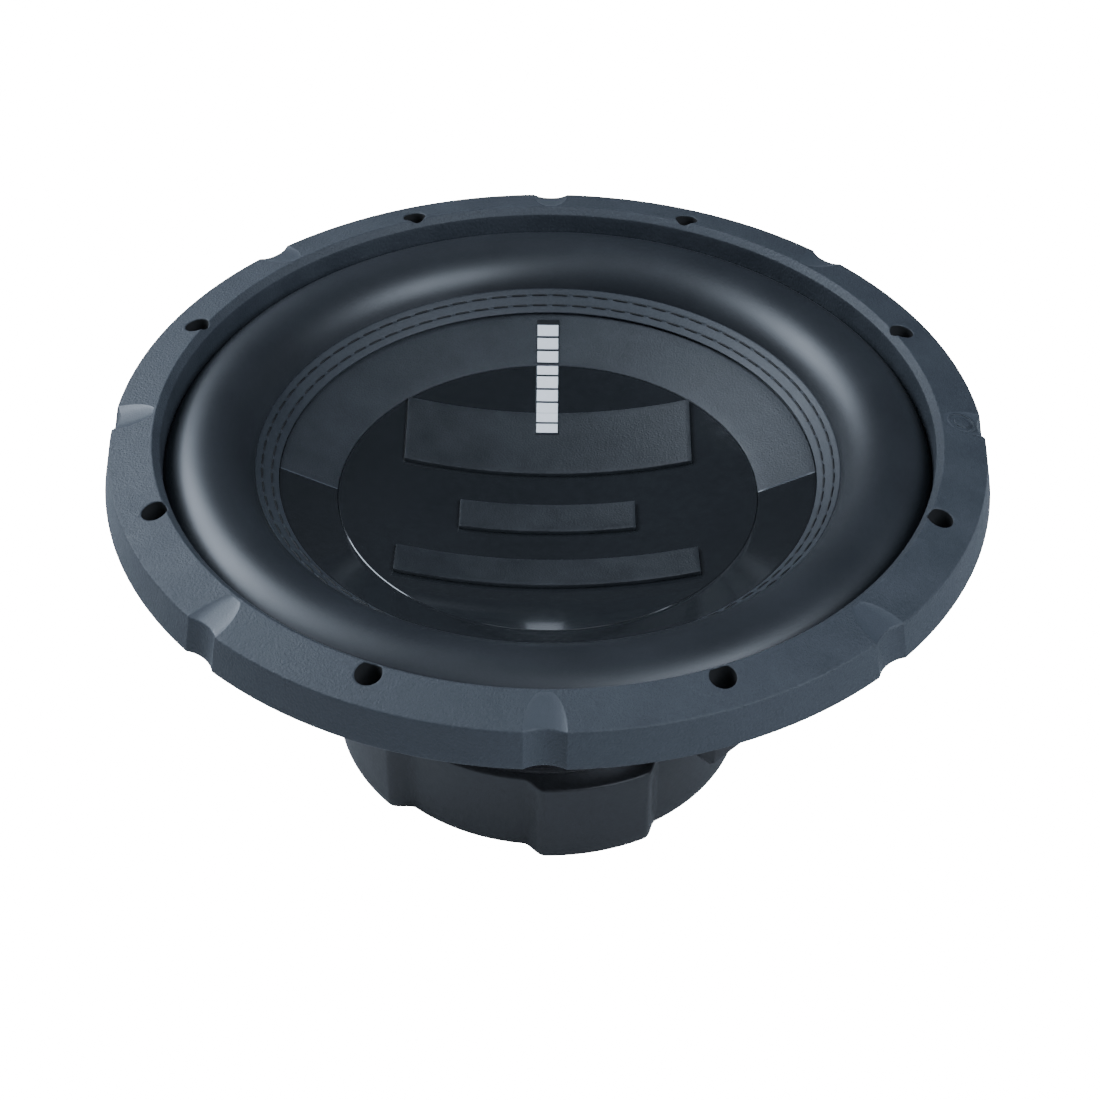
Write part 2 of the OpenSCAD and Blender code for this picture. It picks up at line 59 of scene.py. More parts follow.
# Camera. It stands in front of the driver, 40.6 degrees above the level of the floor, with a
# long lens and a slight tilt, and looks at the circle of screw holes in the trim ring.
pitch = math.radians(40.62)
tilt = math.radians(-0.516)
hole_circle_r = 0.147
aim = Vector((0, 0, 0.1467))
towards = Vector((0, -math.cos(pitch), math.sin(pitch)))
level = Vector((1, 0, 0))
upright = Vector((0, math.sin(pitch), math.cos(pitch)))
across = math.cos(tilt) * level - math.sin(tilt) * upright
along = math.sin(tilt) * level + math.cos(tilt) * upright
stand = aim + hole_circle_r * (5.296 * towards + 0.00698 * level - 0.33397 * upright)
camera_data = bpy.data.cameras.new("studio_camera")
camera_data.lens = 69.75
camera_data.sensor_width = 36
camera_data.clip_end = 60
camera = bpy.data.objects.new("studio_camera", camera_data)
bpy.context.scene.collection.objects.link(camera)
turned = Matrix((across, along, towards)).transposed()
camera.matrix_world = Matrix.Translation(stand) @ turned.to_4x4()
bpy.context.scene.camera = camera


# Studio. A plain pale table that runs on to the horizon, one soft box behind to the left, one
# in front to the right and a weak one overhead. The camera alone sees table and room as white,
# and it sees through the table from below.
def put(tree, kind, sockets=None, **settings):
    """One shader node: settings are its properties, sockets its inputs by name or number."""
    made = tree.nodes.new(kind)
    for name, value in settings.items():
        setattr(made, name, value)
    for key, value in (sockets or {}).items():
        if isinstance(value, bpy.types.NodeSocket):
            tree.links.new(value, made.inputs[key])
        else:
            made.inputs[key].default_value = value
    return made


def soft_box(name, azimuth, elevation, distance, width, height, watts, tint):
    """An area light that hangs at an azimuth and elevation, in degrees, and faces the driver."""
    turn, rise = math.radians(azimuth), math.radians(elevation)
    out = Vector((math.cos(rise) * math.cos(turn), math.cos(rise) * math.sin(turn), math.sin(rise)))
    data = bpy.data.lights.new(name, "AREA")
    data.shape = "RECTANGLE"
    data.size = width
    data.size_y = height
    data.energy = watts
    data.color = tint
    lamp = bpy.data.objects.new(name, data)
    lamp.visible_camera = False
    lamp.matrix_world = Matrix.Translation(out * distance + Vector((0, 0, 0.12))) @ (
        out.to_track_quat("Z", "Y").to_matrix().to_4x4())
    bpy.context.scene.collection.objects.link(lamp)


cool_white = (0.76, 0.86, 1.0)
backdrop_glow = 22.0
soft_box("soft_box_left", 152, 36, 1.5, 1.0, 0.9, 34, cool_white)
soft_box("soft_box_right", -38, 42, 1.5, 0.95, 0.9, 27, cool_white)
soft_box("soft_box_top", -90, 72, 1.8, 1.2, 0.9, 3, cool_white)

table_half, table_z = 8.0, -0.0003
table_mesh = bpy.data.meshes.new("white_table")
table_mesh.from_pydata(
    [(-table_half, -table_half, table_z), (table_half, -table_half, table_z),
     (table_half, table_half, table_z), (-table_half, table_half, table_z)], [], [(0, 1, 2, 3)])
table = bpy.data.objects.new("white_table", table_mesh)
bpy.context.scene.collection.objects.link(table)
table_paint = bpy.data.materials.new("white_table")
table_paint.use_nodes = True
tree = table_paint.node_tree
tree.nodes.clear()
matt = put(tree, "ShaderNodeBsdfDiffuse", {"Color": (0.74, 0.76, 0.78, 1)})
glow = put(tree, "ShaderNodeEmission", {"Color": (1, 1, 1, 1), "Strength": backdrop_glow})
seen = put(tree, "ShaderNodeLightPath").outputs["Is Camera Ray"]
share = put(tree, "ShaderNodeMath", {0: seen, 1: 0.92}, operation="MULTIPLY")
blend = put(tree, "ShaderNodeMixShader", {0: share.outputs[0], 1: matt.outputs[0], 2: glow.outputs[0]})
below = put(tree, "ShaderNodeNewGeometry").outputs["Backfacing"]
clear = put(tree, "ShaderNodeBsdfTransparent").outputs[0]
blend = put(tree, "ShaderNodeMixShader", {0: below, 1: blend.outputs[0], 2: clear})
put(tree, "ShaderNodeOutputMaterial", {"Surface": blend.outputs[0]})
table_mesh.materials.append(table_paint)

world = bpy.data.worlds.new("studio")
world.use_nodes = True
tree = world.node_tree
tree.nodes.clear()
seen = put(tree, "ShaderNodeLightPath").outputs["Is Camera Ray"]
room = put(tree, "ShaderNodeBackground", {"Color": (*cool_white, 1), "Strength": 0.07})
sky = put(tree, "ShaderNodeBackground", {"Color": (1, 1, 1, 1), "Strength": backdrop_glow})
blend = put(tree, "ShaderNodeMixShader", {0: seen, 1: room.outputs[0], 2: sky.outputs[0]})
put(tree, "ShaderNodeOutputWorld", {"Surface": blend.outputs[0]})
bpy.context.scene.world = world


# Magnet boot: a soft moulded rubber cup pulled over the magnets from below. Four thicker lobes
# stand out of its wall, and its floor is open under the vent.
def shader_group(name, takes, gives):
    """An empty shader node group; takes maps inputs to (kind, first value), gives outputs to kinds."""
    tree = bpy.data.node_groups.new(name, "ShaderNodeTree")
    for label, (kind, value) in takes.items():
        socket = tree.interface.new_socket(label, in_out="INPUT", socket_type="NodeSocket" + kind)
        if value is not None:
            socket.default_value = value
    for label, kind in gives.items():
        tree.interface.new_socket(label, in_out="OUTPUT", socket_type="NodeSocket" + kind)
    return tree, put(tree, "NodeGroupInput").outputs, put(tree, "NodeGroupOutput").inputs


def remap(tree, value, low, high, to_low=0.0, to_high=1.0):
    """Value stretched from low..high to to_low..to_high, and held there."""
    return put(tree, "ShaderNodeMapRange",
               {"Value": value, "From Min": low, "From Max": high, "To Min": to_low, "To Max": to_high},
               ).outputs["Result"]


def mix_colours(tree, share, first, second):
    """First colour where share is 0, second where it is 1."""
    return put(tree, "ShaderNodeMix", {0: share, 6: first, 7: second}, data_type="RGBA").outputs[2]


grain_tree, takes, gives = shader_group(
    "moulded_grain",
    {"Vector": ("Vector", None), "Grain": ("Float", 900.0), "Drift": ("Float", 25.0),
     "Dark": ("Color", (0.02, 0.02, 0.02, 1)), "Light": ("Color", (0.05, 0.05, 0.05, 1)),
     "Smooth": ("Float", 0.4), "Rough": ("Float", 0.6)},
    {"Colour": "Color", "Roughness": "Float", "Height": "Float"})
fine = put(grain_tree, "ShaderNodeTexNoise",
           {"Vector": takes["Vector"], "Scale": takes["Grain"], "Detail": 3.0, "Roughness": 0.6})
coarse = put(grain_tree, "ShaderNodeTexNoise",
             {"Vector": takes["Vector"], "Scale": takes["Drift"], "Detail": 4.0, "Roughness": 0.55})
fine_mask = remap(grain_tree, fine.outputs[0], 0.3, 0.7)
coarse_mask = remap(grain_tree, coarse.outputs[0], 0.32, 0.68)
both = put(grain_tree, "ShaderNodeMath", {0: fine_mask, 1: coarse_mask}, operation="ADD")
share = put(grain_tree, "ShaderNodeMath", {0: both.outputs[0], 1: 0.5}, operation="MULTIPLY").outputs[0]
grain_tree.links.new(mix_colours(grain_tree, share, takes["Dark"], takes["Light"]), gives["Colour"])
rough = put(grain_tree, "ShaderNodeMix", {0: share, 2: takes["Smooth"], 3: takes["Rough"]}, data_type="FLOAT")
grain_tree.links.new(rough.outputs[0], gives["Roughness"])
grain_tree.links.new(fine.outputs[0], gives["Height"])

# Painted highlight along hard edges: lighter where the bevelled normal turns from the true one, broken into
# patches by noise.
edge_highlight_tree, takes, gives = shader_group(
    "painted_edge_highlight",
    {"Vector": ("Vector", None), "Radius": ("Float", 0.0006), "Patches": ("Float", 140.0)},
    {"Mask": "Float"})
eased = put(edge_highlight_tree, "ShaderNodeBevel", {"Radius": takes["Radius"]}, samples=4)
facing = put(edge_highlight_tree, "ShaderNodeNewGeometry").outputs["Normal"]
match = put(edge_highlight_tree, "ShaderNodeVectorMath", {0: eased.outputs[0], 1: facing}, operation="DOT_PRODUCT")
edge = remap(edge_highlight_tree, match.outputs["Value"], 0.995, 0.86)
patches = put(edge_highlight_tree, "ShaderNodeTexNoise",
              {"Vector": takes["Vector"], "Scale": takes["Patches"], "Detail": 5.0, "Roughness": 0.7})
broken = remap(edge_highlight_tree, patches.outputs[0], 0.36, 0.6)
highlit_edges = put(edge_highlight_tree, "ShaderNodeMath", {0: edge, 1: broken}, operation="MULTIPLY")
edge_highlight_tree.links.new(highlit_edges.outputs[0], gives["Mask"])


def finish(name, dark, light, smooth, rough, grain, depth, drift=25.0, edge_highlight=None, edge_highlight_r=0.0006,
           **plain_sockets):
    """A material whose colour and roughness drift between two values, with a bump of fine grain.

    Colour = dark + (light - dark) * noise, and its hard edges go towards a painted highlight colour, in
    patches. The bump's height is the fine noise times depth. plain_sockets are constants of the shader
    itself.
    """
    made = bpy.data.materials.new(name)
    made.use_nodes = True
    tree = made.node_tree
    shader = tree.nodes["Principled BSDF"]
    place = put(tree, "ShaderNodeTexCoord").outputs["Object"]
    skin = tree.nodes.new("ShaderNodeGroup")
    skin.node_tree = grain_tree
    skin.name = "grain"
    tree.links.new(place, skin.inputs["Vector"])
    for key, value in {"Grain": grain, "Drift": drift, "Dark": (*dark, 1), "Light": (*light, 1),
                       "Smooth": smooth, "Rough": rough}.items():
        skin.inputs[key].default_value = value
    colour = skin.outputs["Colour"]
    if edge_highlight:
        edges = tree.nodes.new("ShaderNodeGroup")
        edges.node_tree = edge_highlight_tree
        tree.links.new(place, edges.inputs["Vector"])
        edges.inputs["Radius"].default_value = edge_highlight_r
        colour = mix_colours(tree, edges.outputs["Mask"], colour, (*edge_highlight, 1))
    tree.links.new(colour, shader.inputs["Base Color"])
    tree.links.new(skin.outputs["Roughness"], shader.inputs["Roughness"])
    bump = put(tree, "ShaderNodeBump", {"Strength": 1.0, "Distance": depth, "Height": skin.outputs["Height"]})
    bump.name = "bump"
    tree.links.new(bump.outputs[0], shader.inputs["Normal"])
    for key, value in plain_sockets.items():
        shader.inputs[key.replace("_", " ")].default_value = value
    return made


def rounded(corners, radii, steps=5, closed=True):
    """A section through the corners, with each corner replaced by a tangent arc of its radius.

    Each arc is the rational quadratic curve on the corner and the two points where the arc
    leaves the sides, which is exactly circular when its middle weight is the half angle's sine.
    """
    corners = np.asarray(corners, float)
    back = np.roll(corners, 1, 0) - corners
    ahead = np.roll(corners, -1, 0) - corners
    back /= np.linalg.norm(back, axis=1)[:, None]
    ahead /= np.linalg.norm(ahead, axis=1)[:, None]
    half = np.arccos(np.clip((back * ahead).sum(1), -0.9999, 0.9999)) / 2
    cut = (np.asarray(radii, float) / np.tan(half))[:, None]
    t = np.linspace(0, 1, steps)[None, :, None]
    middle = 2 * t * (1 - t) * np.sin(half)[:, None, None]
    first, last = (1 - t) ** 2, t ** 2
    arcs = (first * (corners + back * cut)[:, None] + middle * corners[:, None]
            + last * (corners + ahead * cut)[:, None]) / (first + middle + last)
    kept = np.asarray(radii, float) > 0
    whole = [arc if keep else corner[None] for arc, keep, corner in zip(arcs, kept, corners)]
    if not closed:
        whole[0], whole[-1] = corners[:1], corners[-1:]
    return np.concatenate(whole)


def finely(section, step, closed=True):
    """The same section with points added so that no two neighbours are further apart than step."""
    ends = np.concatenate([section, section[:1]]) if closed else section
    spans = np.linalg.norm(np.diff(ends, axis=0), axis=1)
    parts = np.maximum(1, np.ceil(spans / step)).astype(int)
    at = np.repeat(np.arange(len(parts)), parts)
    t = (np.arange(len(at)) - np.repeat(np.cumsum(parts) - parts, parts)) / parts[at]
    points = ends[at] + (ends[at + 1] - ends[at]) * t[:, None]
    return points if closed else np.concatenate([points, ends[-1:]])


def lattice_faces(rows, columns, around=True, along=False):
    """Faces between neighbours on a grid of points, closed in azimuth and round the section if said."""
    number = np.arange(rows * columns).reshape(rows, columns)
    low = number if along else number[:-1]
    high = np.roll(number, -1, 0) if along else number[1:]
    faces = np.stack([low, np.roll(low, -1, 1), np.roll(high, -1, 1), high], -1)
    return (faces if around else faces[:, :-1]).reshape(-1, 4)


def signed_volume(points, faces):
    """Six times the volume inside the faces: each corner fan's triple products, added up."""
    a, b, c, d = (points[faces[:, k]] for k in range(4))
    return (np.cross(a, b) * c).sum() + (np.cross(a, c) * d).sum()


def piece(name, points, faces, materials, crease=35.0, body="basket_body", weld=True, solid=True):
    """A mesh object in metres from points in millimetres; a closed one is turned to face outwards.

    Faces are rows of four corners, or of three where the fourth repeats the third.
    """
    points = np.asarray(points, float).reshape(-1, 3)
    if solid and signed_volume(points, faces) < 0:
        faces = faces[:, ::-1]
    mesh = bpy.data.meshes.new(name)
    mesh.vertices.add(len(points))
    mesh.vertices.foreach_set("co", (points * mm).astype(np.float32).ravel())
    double = (faces[:, 2] == faces[:, 3]) | (faces[:, 0] == faces[:, 1])
    sides = np.where(double, 3, 4)
    slim = np.where((faces[:, 0] == faces[:, 1])[:, None], np.roll(faces, -1, 1), faces)
    loops = slim[np.arange(4)[None, :] < sides[:, None]]
    starts = np.cumsum(sides) - sides
    mesh.loops.add(len(loops))
    mesh.loops.foreach_set("vertex_index", loops.astype(np.int32))
    mesh.polygons.add(len(sides))
    mesh.polygons.foreach_set("loop_start", starts.astype(np.int32))
    mesh.update(calc_edges=True)
    mesh.validate()
    if weld:
        shell = bmesh.new()
        shell.from_mesh(mesh)
        bmesh.ops.remove_doubles(shell, verts=shell.verts, dist=2e-6)
        shell.to_mesh(mesh)
        shell.free()
    for material in materials:
        mesh.materials.append(material)
    mesh.shade_smooth()
    mesh.set_sharp_from_angle(angle=math.radians(crease))
    made = bpy.data.objects.new(name, mesh)
    bpy.context.scene.collection.objects.link(made)
    if body:
        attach(made, body)
    return made


def columns_near(step, places, reach, fine_step):
    """Azimuths in degrees all round: one every step, and one every fine_step near the places."""
    even = np.arange(0, 360, step)
    gap = np.abs((even[:, None] - np.asarray(places)[None] + 180) % 360 - 180).min(1)
    near = (np.asarray(places)[:, None] + np.arange(-reach, reach + fine_step / 2, fine_step)[None]).ravel()
    return np.unique(np.round(np.concatenate([even[gap > reach], near % 360]), 5))


def revolved(radius, height, azimuth):
    """Points of a turned skin: radius and height, by row or by row and column, at the azimuths."""
    turn = np.radians(azimuth)
    radius = radius[:, None] if radius.ndim == 1 else radius
    height = height[:, None] if height.ndim == 1 else height
    whole = np.ones_like(turn)[None]
    return np.stack([radius * np.cos(turn), radius * np.sin(turn), height * whole + 0 * radius], -1)


boot_r, lobe_r, boot_high, boot_in_r, boot_floor, boot_bore_r = 78.7, 84.4, 37.2, 75.0, 2.5, 20.0
lobes = [(180, 47), (267, 33), (0, 47), (87, 33)]
lobe_ends = [end % 360 for start, wide in lobes for end in (start, start + wide)]
lobe_ease = 3.1
boot_section = finely(rounded(
    [(boot_bore_r, 0), (boot_r, 0), (boot_r, boot_high), (boot_in_r, boot_high),
     (boot_in_r, boot_floor), (boot_bore_r, boot_floor)], [0.8, 2.2, 1.0, 0.8, 1.5, 0.8]), 4.0)
boot_az = columns_near(1.5, lobe_ends, 3.4, 0.3)


def lobe_share(azimuth):
    """1 on a lobe and 0 between lobes, with a smooth step lobe_ease degrees to each side of an end."""
    share = np.zeros_like(azimuth)
    for start, wide in lobes:
        off = wide / 2 - np.abs((azimuth - start - wide / 2 + 180) % 360 - 180)
        t = np.clip((off + lobe_ease) / (2 * lobe_ease), 0, 1)
        share = np.maximum(share, t * t * (3 - 2 * t))
    return share


outer_rows = np.clip((boot_section[:, 0] - 75.8) / 0.8, 0, 1)
boot_rr = boot_section[:, :1] + outer_rows[:, None] * (lobe_r - boot_r) * lobe_share(boot_az)[None]
boot_rubber = finish("boot_rubber", (0.015, 0.0155, 0.017), (0.023, 0.023, 0.025), 0.40, 0.52, 700.0, 0.00006,
                     drift=60.0, Specular_IOR_Level=0.55)
boot = piece("rubber_boot", revolved(boot_rr, boot_section[:, 1], boot_az),
             lattice_faces(len(boot_section), len(boot_az), along=True), [boot_rubber])
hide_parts("magnet_boot")


# Motor: zinc plated steel yoke and top plate, two sintered ferrite magnets between them, an
# aluminium shorting ring, a copper sleeve on the pole and a steel screen over the vent.
def dress(name, material):
    """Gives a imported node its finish: the material goes into each slot of its own object."""
    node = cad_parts[name]
    for holder in node.material_slots:
        holder.link = "DATA"
        holder.material = material
    if not node.material_slots:
        node.data.materials.append(material)


lathe_tree, takes, gives = shader_group(
    "lathe_marks", {"Vector": ("Vector", None), "Rings": ("Float", 1400.0)},
    {"Height": "Float", "Mask": "Float"})
flat_place = put(lathe_tree, "ShaderNodeVectorMath", {0: takes["Vector"], 1: (1, 1, 0)}, operation="MULTIPLY")
reach = put(lathe_tree, "ShaderNodeVectorMath", {0: flat_place.outputs[0]}, operation="LENGTH")
wide = put(lathe_tree, "ShaderNodeMath", {0: reach.outputs["Value"], 1: takes["Rings"]}, operation="MULTIPLY")
lines = put(lathe_tree, "ShaderNodeTexNoise", {"W": wide.outputs[0], "Scale": 1.0, "Detail": 2.0},
            noise_dimensions="1D")
lathe_tree.links.new(lines.outputs[0], gives["Height"])
lathe_tree.links.new(remap(lathe_tree, lines.outputs[0], 0.35, 0.65), gives["Mask"])


def machined(name, dark, light, smooth, rough, rings=1400.0, depth=0.00002, **plain_sockets):
    """A turned metal: the finish above, with its grain's bump replaced by fine rings round the axis, and a
    painted highlight on its hard edges at 1.4 times the light colour.
    """
    made = finish(name, dark, light, smooth, rough, 400.0, depth, edge_highlight=tuple(1.4 * c for c in light),
                  **plain_sockets)
    tree = made.node_tree
    marks = tree.nodes.new("ShaderNodeGroup")
    marks.node_tree = lathe_tree
    tree.links.new(tree.nodes["Texture Coordinate"].outputs["Object"], marks.inputs["Vector"])
    marks.inputs["Rings"].default_value = rings
    tree.links.new(marks.outputs["Height"], tree.nodes["bump"].inputs["Height"])
    return made


# The lighter edge colours of these metals and the ferrite are painted highlights along hard edges.
zinc_steel = machined("zinc_steel", (0.42, 0.43, 0.45), (0.58, 0.59, 0.60), 0.28, 0.42, Metallic=1.0)
ferrite = finish("ferrite", (0.022, 0.022, 0.024), (0.050, 0.050, 0.052), 0.55, 0.75, 500.0, 0.00012,
                 drift=60.0, edge_highlight=(0.11, 0.11, 0.115), edge_highlight_r=0.001)
aluminium = machined("aluminium", (0.60, 0.61, 0.62), (0.78, 0.79, 0.80), 0.25, 0.38, Metallic=1.0)
copper = machined("copper", (0.60, 0.27, 0.16), (0.78, 0.40, 0.26), 0.22, 0.36, Metallic=1.0)
screen_steel = finish("screen_steel", (0.04, 0.04, 0.042), (0.08, 0.08, 0.083), 0.4, 0.55, 800.0, 0.00004,
                      edge_highlight=(0.3, 0.3, 0.31), Metallic=0.6)
black_zinc = finish("black_zinc", (0.03, 0.03, 0.032), (0.06, 0.06, 0.064), 0.28, 0.4, 900.0, 0.00002,
                    edge_highlight=(0.35, 0.35, 0.36), edge_highlight_r=0.0003, Metallic=0.8)
dress("yoke", zinc_steel)
dress("top_plate", zinc_steel)
dress("magnet_lower", ferrite)
dress("magnet_upper", ferrite)
dress("shorting_ring", aluminium)
dress("pole_cap", copper)
dress("vent_screen", screen_steel)
dress("motor_screws", black_zinc)


# Basket: 1.8 mm steel sheet drawn into a cup, four wide legs and a flat flange, pierced with
# windows between the legs, a slot down each leg and the screw holes, then powder coated black.
def cut_points(distance):
    """Which grid points move on to an opening's edge: of two neighbours on either side, the nearer."""
    moved = np.zeros(distance.shape, bool)
    for axis in (0, 1):
        other = np.roll(distance, -1, axis)
        crossing = distance * other < 0
        if axis == 0:
            crossing[-1] = False
        nearer = np.abs(distance) <= np.abs(other)
        moved |= crossing & nearer
        moved |= np.roll(crossing & ~nearer, 1, axis)
    return moved


def pierced(faces, side):
    """Faces outside the openings, by each point's side: 1 outside, 0 on an edge and -1 inside.

    A face with corners on both sides has two on the edge between them, and keeps its outer half.
    """
    at = side[faces]
    whole = faces[(at.min(1) >= 0) & (at.max(1) > 0)]
    half = (at.min(1) < 0) & (at.max(1) > 0)
    corner = at[half].argmax(1)
    row = np.arange(half.sum())
    pick = [faces[half][row, (corner + k) % 4] for k in (-1, 0, 1, 1)]
    return np.concatenate([whole, np.stack(pick, -1)])


def settle(thing, crease=35.0):
    """Replaces a piece's mesh by what its modifiers make of it, and marks its hard edges again."""
    bpy.context.view_layer.update()
    mesh = bpy.data.meshes.new_from_object(thing.evaluated_get(bpy.context.evaluated_depsgraph_get()))
    thing.modifiers.clear()
    thing.data = mesh
    mesh.shade_smooth()
    mesh.set_sharp_from_angle(angle=math.radians(crease))


sheet_t, seat_z, flange_r = 1.8, 130.0, 157.0
basket_path = finely(rounded(
    [(44, 46.5), (58, 46.5), (66, 68), (84, 68), (136, seat_z), (flange_r, seat_z)],
    [0, 3, 3, 4, 4, 0], steps=6, closed=False), 1.9, closed=False)
path_s = np.concatenate([[0], np.cumsum(np.linalg.norm(np.diff(basket_path, axis=0), axis=1))])
hole_az = 22.5 + 45 * np.arange(8)
basket_az = columns_near(0.75, hole_az, 2.0, 0.25)
window_shape = {"low_z": 77, "high_z": 121, "low_half": 44, "high_half": 58, "corner_r": 9}
slot_shape = {"low_z": 87, "high_z": 116, "low_half": 5, "high_half": 8, "corner_r": 4.5}
screw_circle_r, screw_hole_r, rim_from_r = 147, 3, 138


def opening(y, z, low_z, high_z, low_half, high_half, corner_r):
    """Distance to a rounded trapezoid, less than 0 inside: to the one inset by corner_r, less corner_r."""
    lean = math.atan2(high_half - low_half, high_z - low_z)
    inset = corner_r / math.cos(lean)
    z0, z1 = low_z + corner_r, high_z - corner_r
    grow = (high_half - low_half) / (high_z - low_z)
    y0 = low_half + grow * corner_r - inset
    y1 = high_half - grow * corner_r - inset
    y = np.abs(y)
    up = np.clip(((y - y0) * (y1 - y0) + (z - z0) * (z1 - z0)) / ((y1 - y0) ** 2 + (z1 - z0) ** 2), 0, 1)
    side = np.hypot(y - y0 - up * (y1 - y0), z - z0 - up * (z1 - z0))
    foot = np.hypot(y - np.clip(y, 0, y0), z - z0)
    head = np.hypot(y - np.clip(y, 0, y1), z - z1)
    near = np.minimum(side, np.minimum(foot, head))
    inside = (z > z0) & (z < z1) & (y < y0 + (z - z0) * (y1 - y0) / (z1 - z0))
    return np.where(inside, -near, near) - corner_r


def basket_distance(s, azimuth):
    """Distance to the nearest edge of a window, a leg slot or a screw hole, less than 0 inside."""
    r, z = np.interp(s, path_s, basket_path[:, 0]), np.interp(s, path_s, basket_path[:, 1])
    to_window = (azimuth + 45) % 90 - 45
    to_slot = azimuth % 90 - 45
    to_hole = np.radians(azimuth % 45 - 22.5)
    window = opening(r * np.sin(np.radians(to_window)), z, **window_shape)
    slot = opening(r * np.sin(np.radians(to_slot)), z, **slot_shape)
    hole = np.hypot(r * np.cos(to_hole) - screw_circle_r, r * np.sin(to_hole)) - screw_hole_r
    return np.where(r > rim_from_r, hole, np.minimum(window, slot))


s, azimuth = np.meshgrid(path_s, basket_az, indexing="ij")
gap = basket_distance(s, azimuth)
moved = cut_points(gap)
nudge = 0.02
for _ in range(4):
    r = np.interp(s[moved], path_s, basket_path[:, 0])
    here = basket_distance(s[moved], azimuth[moved])
    along_s = (basket_distance(s[moved] + nudge, azimuth[moved]) - here) / nudge
    along_az = (basket_distance(s[moved], azimuth[moved] + np.degrees(nudge / r)) - here) / nudge
    steep = np.maximum(along_s ** 2 + along_az ** 2, 0.2)
    s[moved] -= here * along_s / steep
    azimuth[moved] -= np.degrees(here * along_az / steep / r)
side = np.where(moved, 0, np.sign(gap)).astype(int)
r, z = np.interp(s, path_s, basket_path[:, 0]), np.interp(s, path_s, basket_path[:, 1])
turn = np.radians(azimuth)
# Its lighter edge colour is a painted highlight along hard edges.
powder_coat = finish("powder_coat", (0.016, 0.017, 0.019), (0.026, 0.027, 0.030), 0.34, 0.46, 520.0, 0.00005,
                     drift=20.0, edge_highlight=(0.07, 0.07, 0.075), edge_highlight_r=0.0005)
basket = piece("stamped_basket", np.stack([r * np.cos(turn), r * np.sin(turn), z], -1),
               pierced(lattice_faces(*s.shape), side.ravel()), [powder_coat], solid=False)
wall = basket.modifiers.new("sheet", "SOLIDIFY")
wall.thickness = sheet_t * mm
wall.offset = -1
wall.use_even_offset = True
settle(basket)
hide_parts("basket")


# Trim ring: one heavy moulding of charcoal rubber that covers the flange and the edge of the
# surround. Eight scalloped notches cross it, with the screw holes half way between them.
bore_r, lip_r, lip_z = 140.8, 143.3, 147.4
edge_r, edge_z, foot_r = 159.1, 143.8, 162.1
face_fall = (lip_z - edge_z) / (edge_r - lip_r)
wall_lean = (foot_r - edge_r) / (edge_z - seat_z)
ring_top = rounded([(bore_r - 0.01, 138), (bore_r, 144.9), (lip_r, lip_z),
                    (edge_r + 5, edge_z - 5 * face_fall)], [0, 0.5, 0.7, 0], steps=7, closed=False)
top_r = np.unique(np.round(np.concatenate([
    ring_top[1:-1, 0], np.arange(144.3, 152.5, 0.6), np.arange(153.2, 158.2, 0.8), [158.35]]), 4))
top_r = top_r[np.append(True, np.diff(top_r) > 0.02)]
groove_half, groove_deep, groove_from, scallop_r, scallop_deep = 7.1, 1.0, 143.7, 12.3, 2.1
least_half, wall_half, pull_from_r, boss_r, hole_from_az = 2.2, 7.0, 151.5, 151.2, 19.9


def softly_above(h, ease):
    """h where it is over 0, else 0, with the corner eased: half of h plus the root of h and ease squared."""
    return 0.5 * (h + np.sqrt(h * h + ease * ease)) - 0.5 * ease * np.exp(-np.abs(h) / ease)


def face_height(r):
    """Height of the ring's plain upper side over the radius: the bore's chamfer, the lip and the face."""
    return np.interp(r, ring_top[1:, 0], ring_top[1:, 1])


def notch_half(r):
    """Half the width of a notch where it meets the face: an arch that stands on the outer edge."""
    way = np.clip((r - groove_from) / (edge_r - groove_from), 0, 1)
    return np.maximum(groove_half * np.sqrt(way * (2 - way)), least_half)


def groove_depth(r, y):
    """Depth of a notch under the sloping face: deepest over its middle, with a nearly level floor.

    1 less the cube of the share of the half width, times a depth that grows from lip to outer edge.
    """
    way = np.clip((r - groove_from) / (edge_r - groove_from), 0, 1.1)
    return groove_deep * way ** 0.6 * softly_above(1 - (np.abs(y) / notch_half(r)) ** 3, 0.12)


def scallop_depth(y):
    """How far a notch cuts into the ring's outer wall."""
    return softly_above(np.sqrt(np.maximum(scallop_r ** 2 - y * y, 0)) - scallop_r + scallop_deep, 0.16)


def face_middles(thing):
    """The middle of each face of a piece, in millimetres."""
    flat = np.zeros(len(thing.data.polygons) * 3, np.float32)
    thing.data.polygons.foreach_get("center", flat)
    return flat.reshape(-1, 3) / mm


inner_t = np.sin(np.linspace(-1, 1, 23) * math.pi / 2) * 0.96
notch_t = np.concatenate([[-1], inner_t, [1]])
middle_f = np.array([0.006, 0.02, 0.045, 0.09, 0.16, 0.26, 0.38, 0.50, 0.62, 0.74, 0.87, 1.0])
hole_a = np.arange(hole_from_az, 22.5, 0.2)[1:]
kind = np.concatenate([-3 * np.ones(len(hole_a)), -2 * np.ones(12), np.zeros(25), 2 * np.ones(12),
                       3 * np.ones(len(hole_a) + 1)])
value = np.concatenate([-hole_a[::-1], middle_f[::-1], notch_t, middle_f, hole_a, [22.5]])


def ring_azimuth(r, half):
    """Azimuth of each column at a radius: notch columns follow its half width, hole columns stand still."""
    edge = np.degrees(np.arcsin(half / r))[:, None]
    local = np.where(np.abs(kind) == 3, value[None],
                     np.where(kind == 0, edge * value[None],
                              np.sign(kind) * (edge + value[None] * (hole_from_az - edge))))
    return (local[:, None, :] + 45 * np.arange(8)[None, :, None]).reshape(len(r), -1)


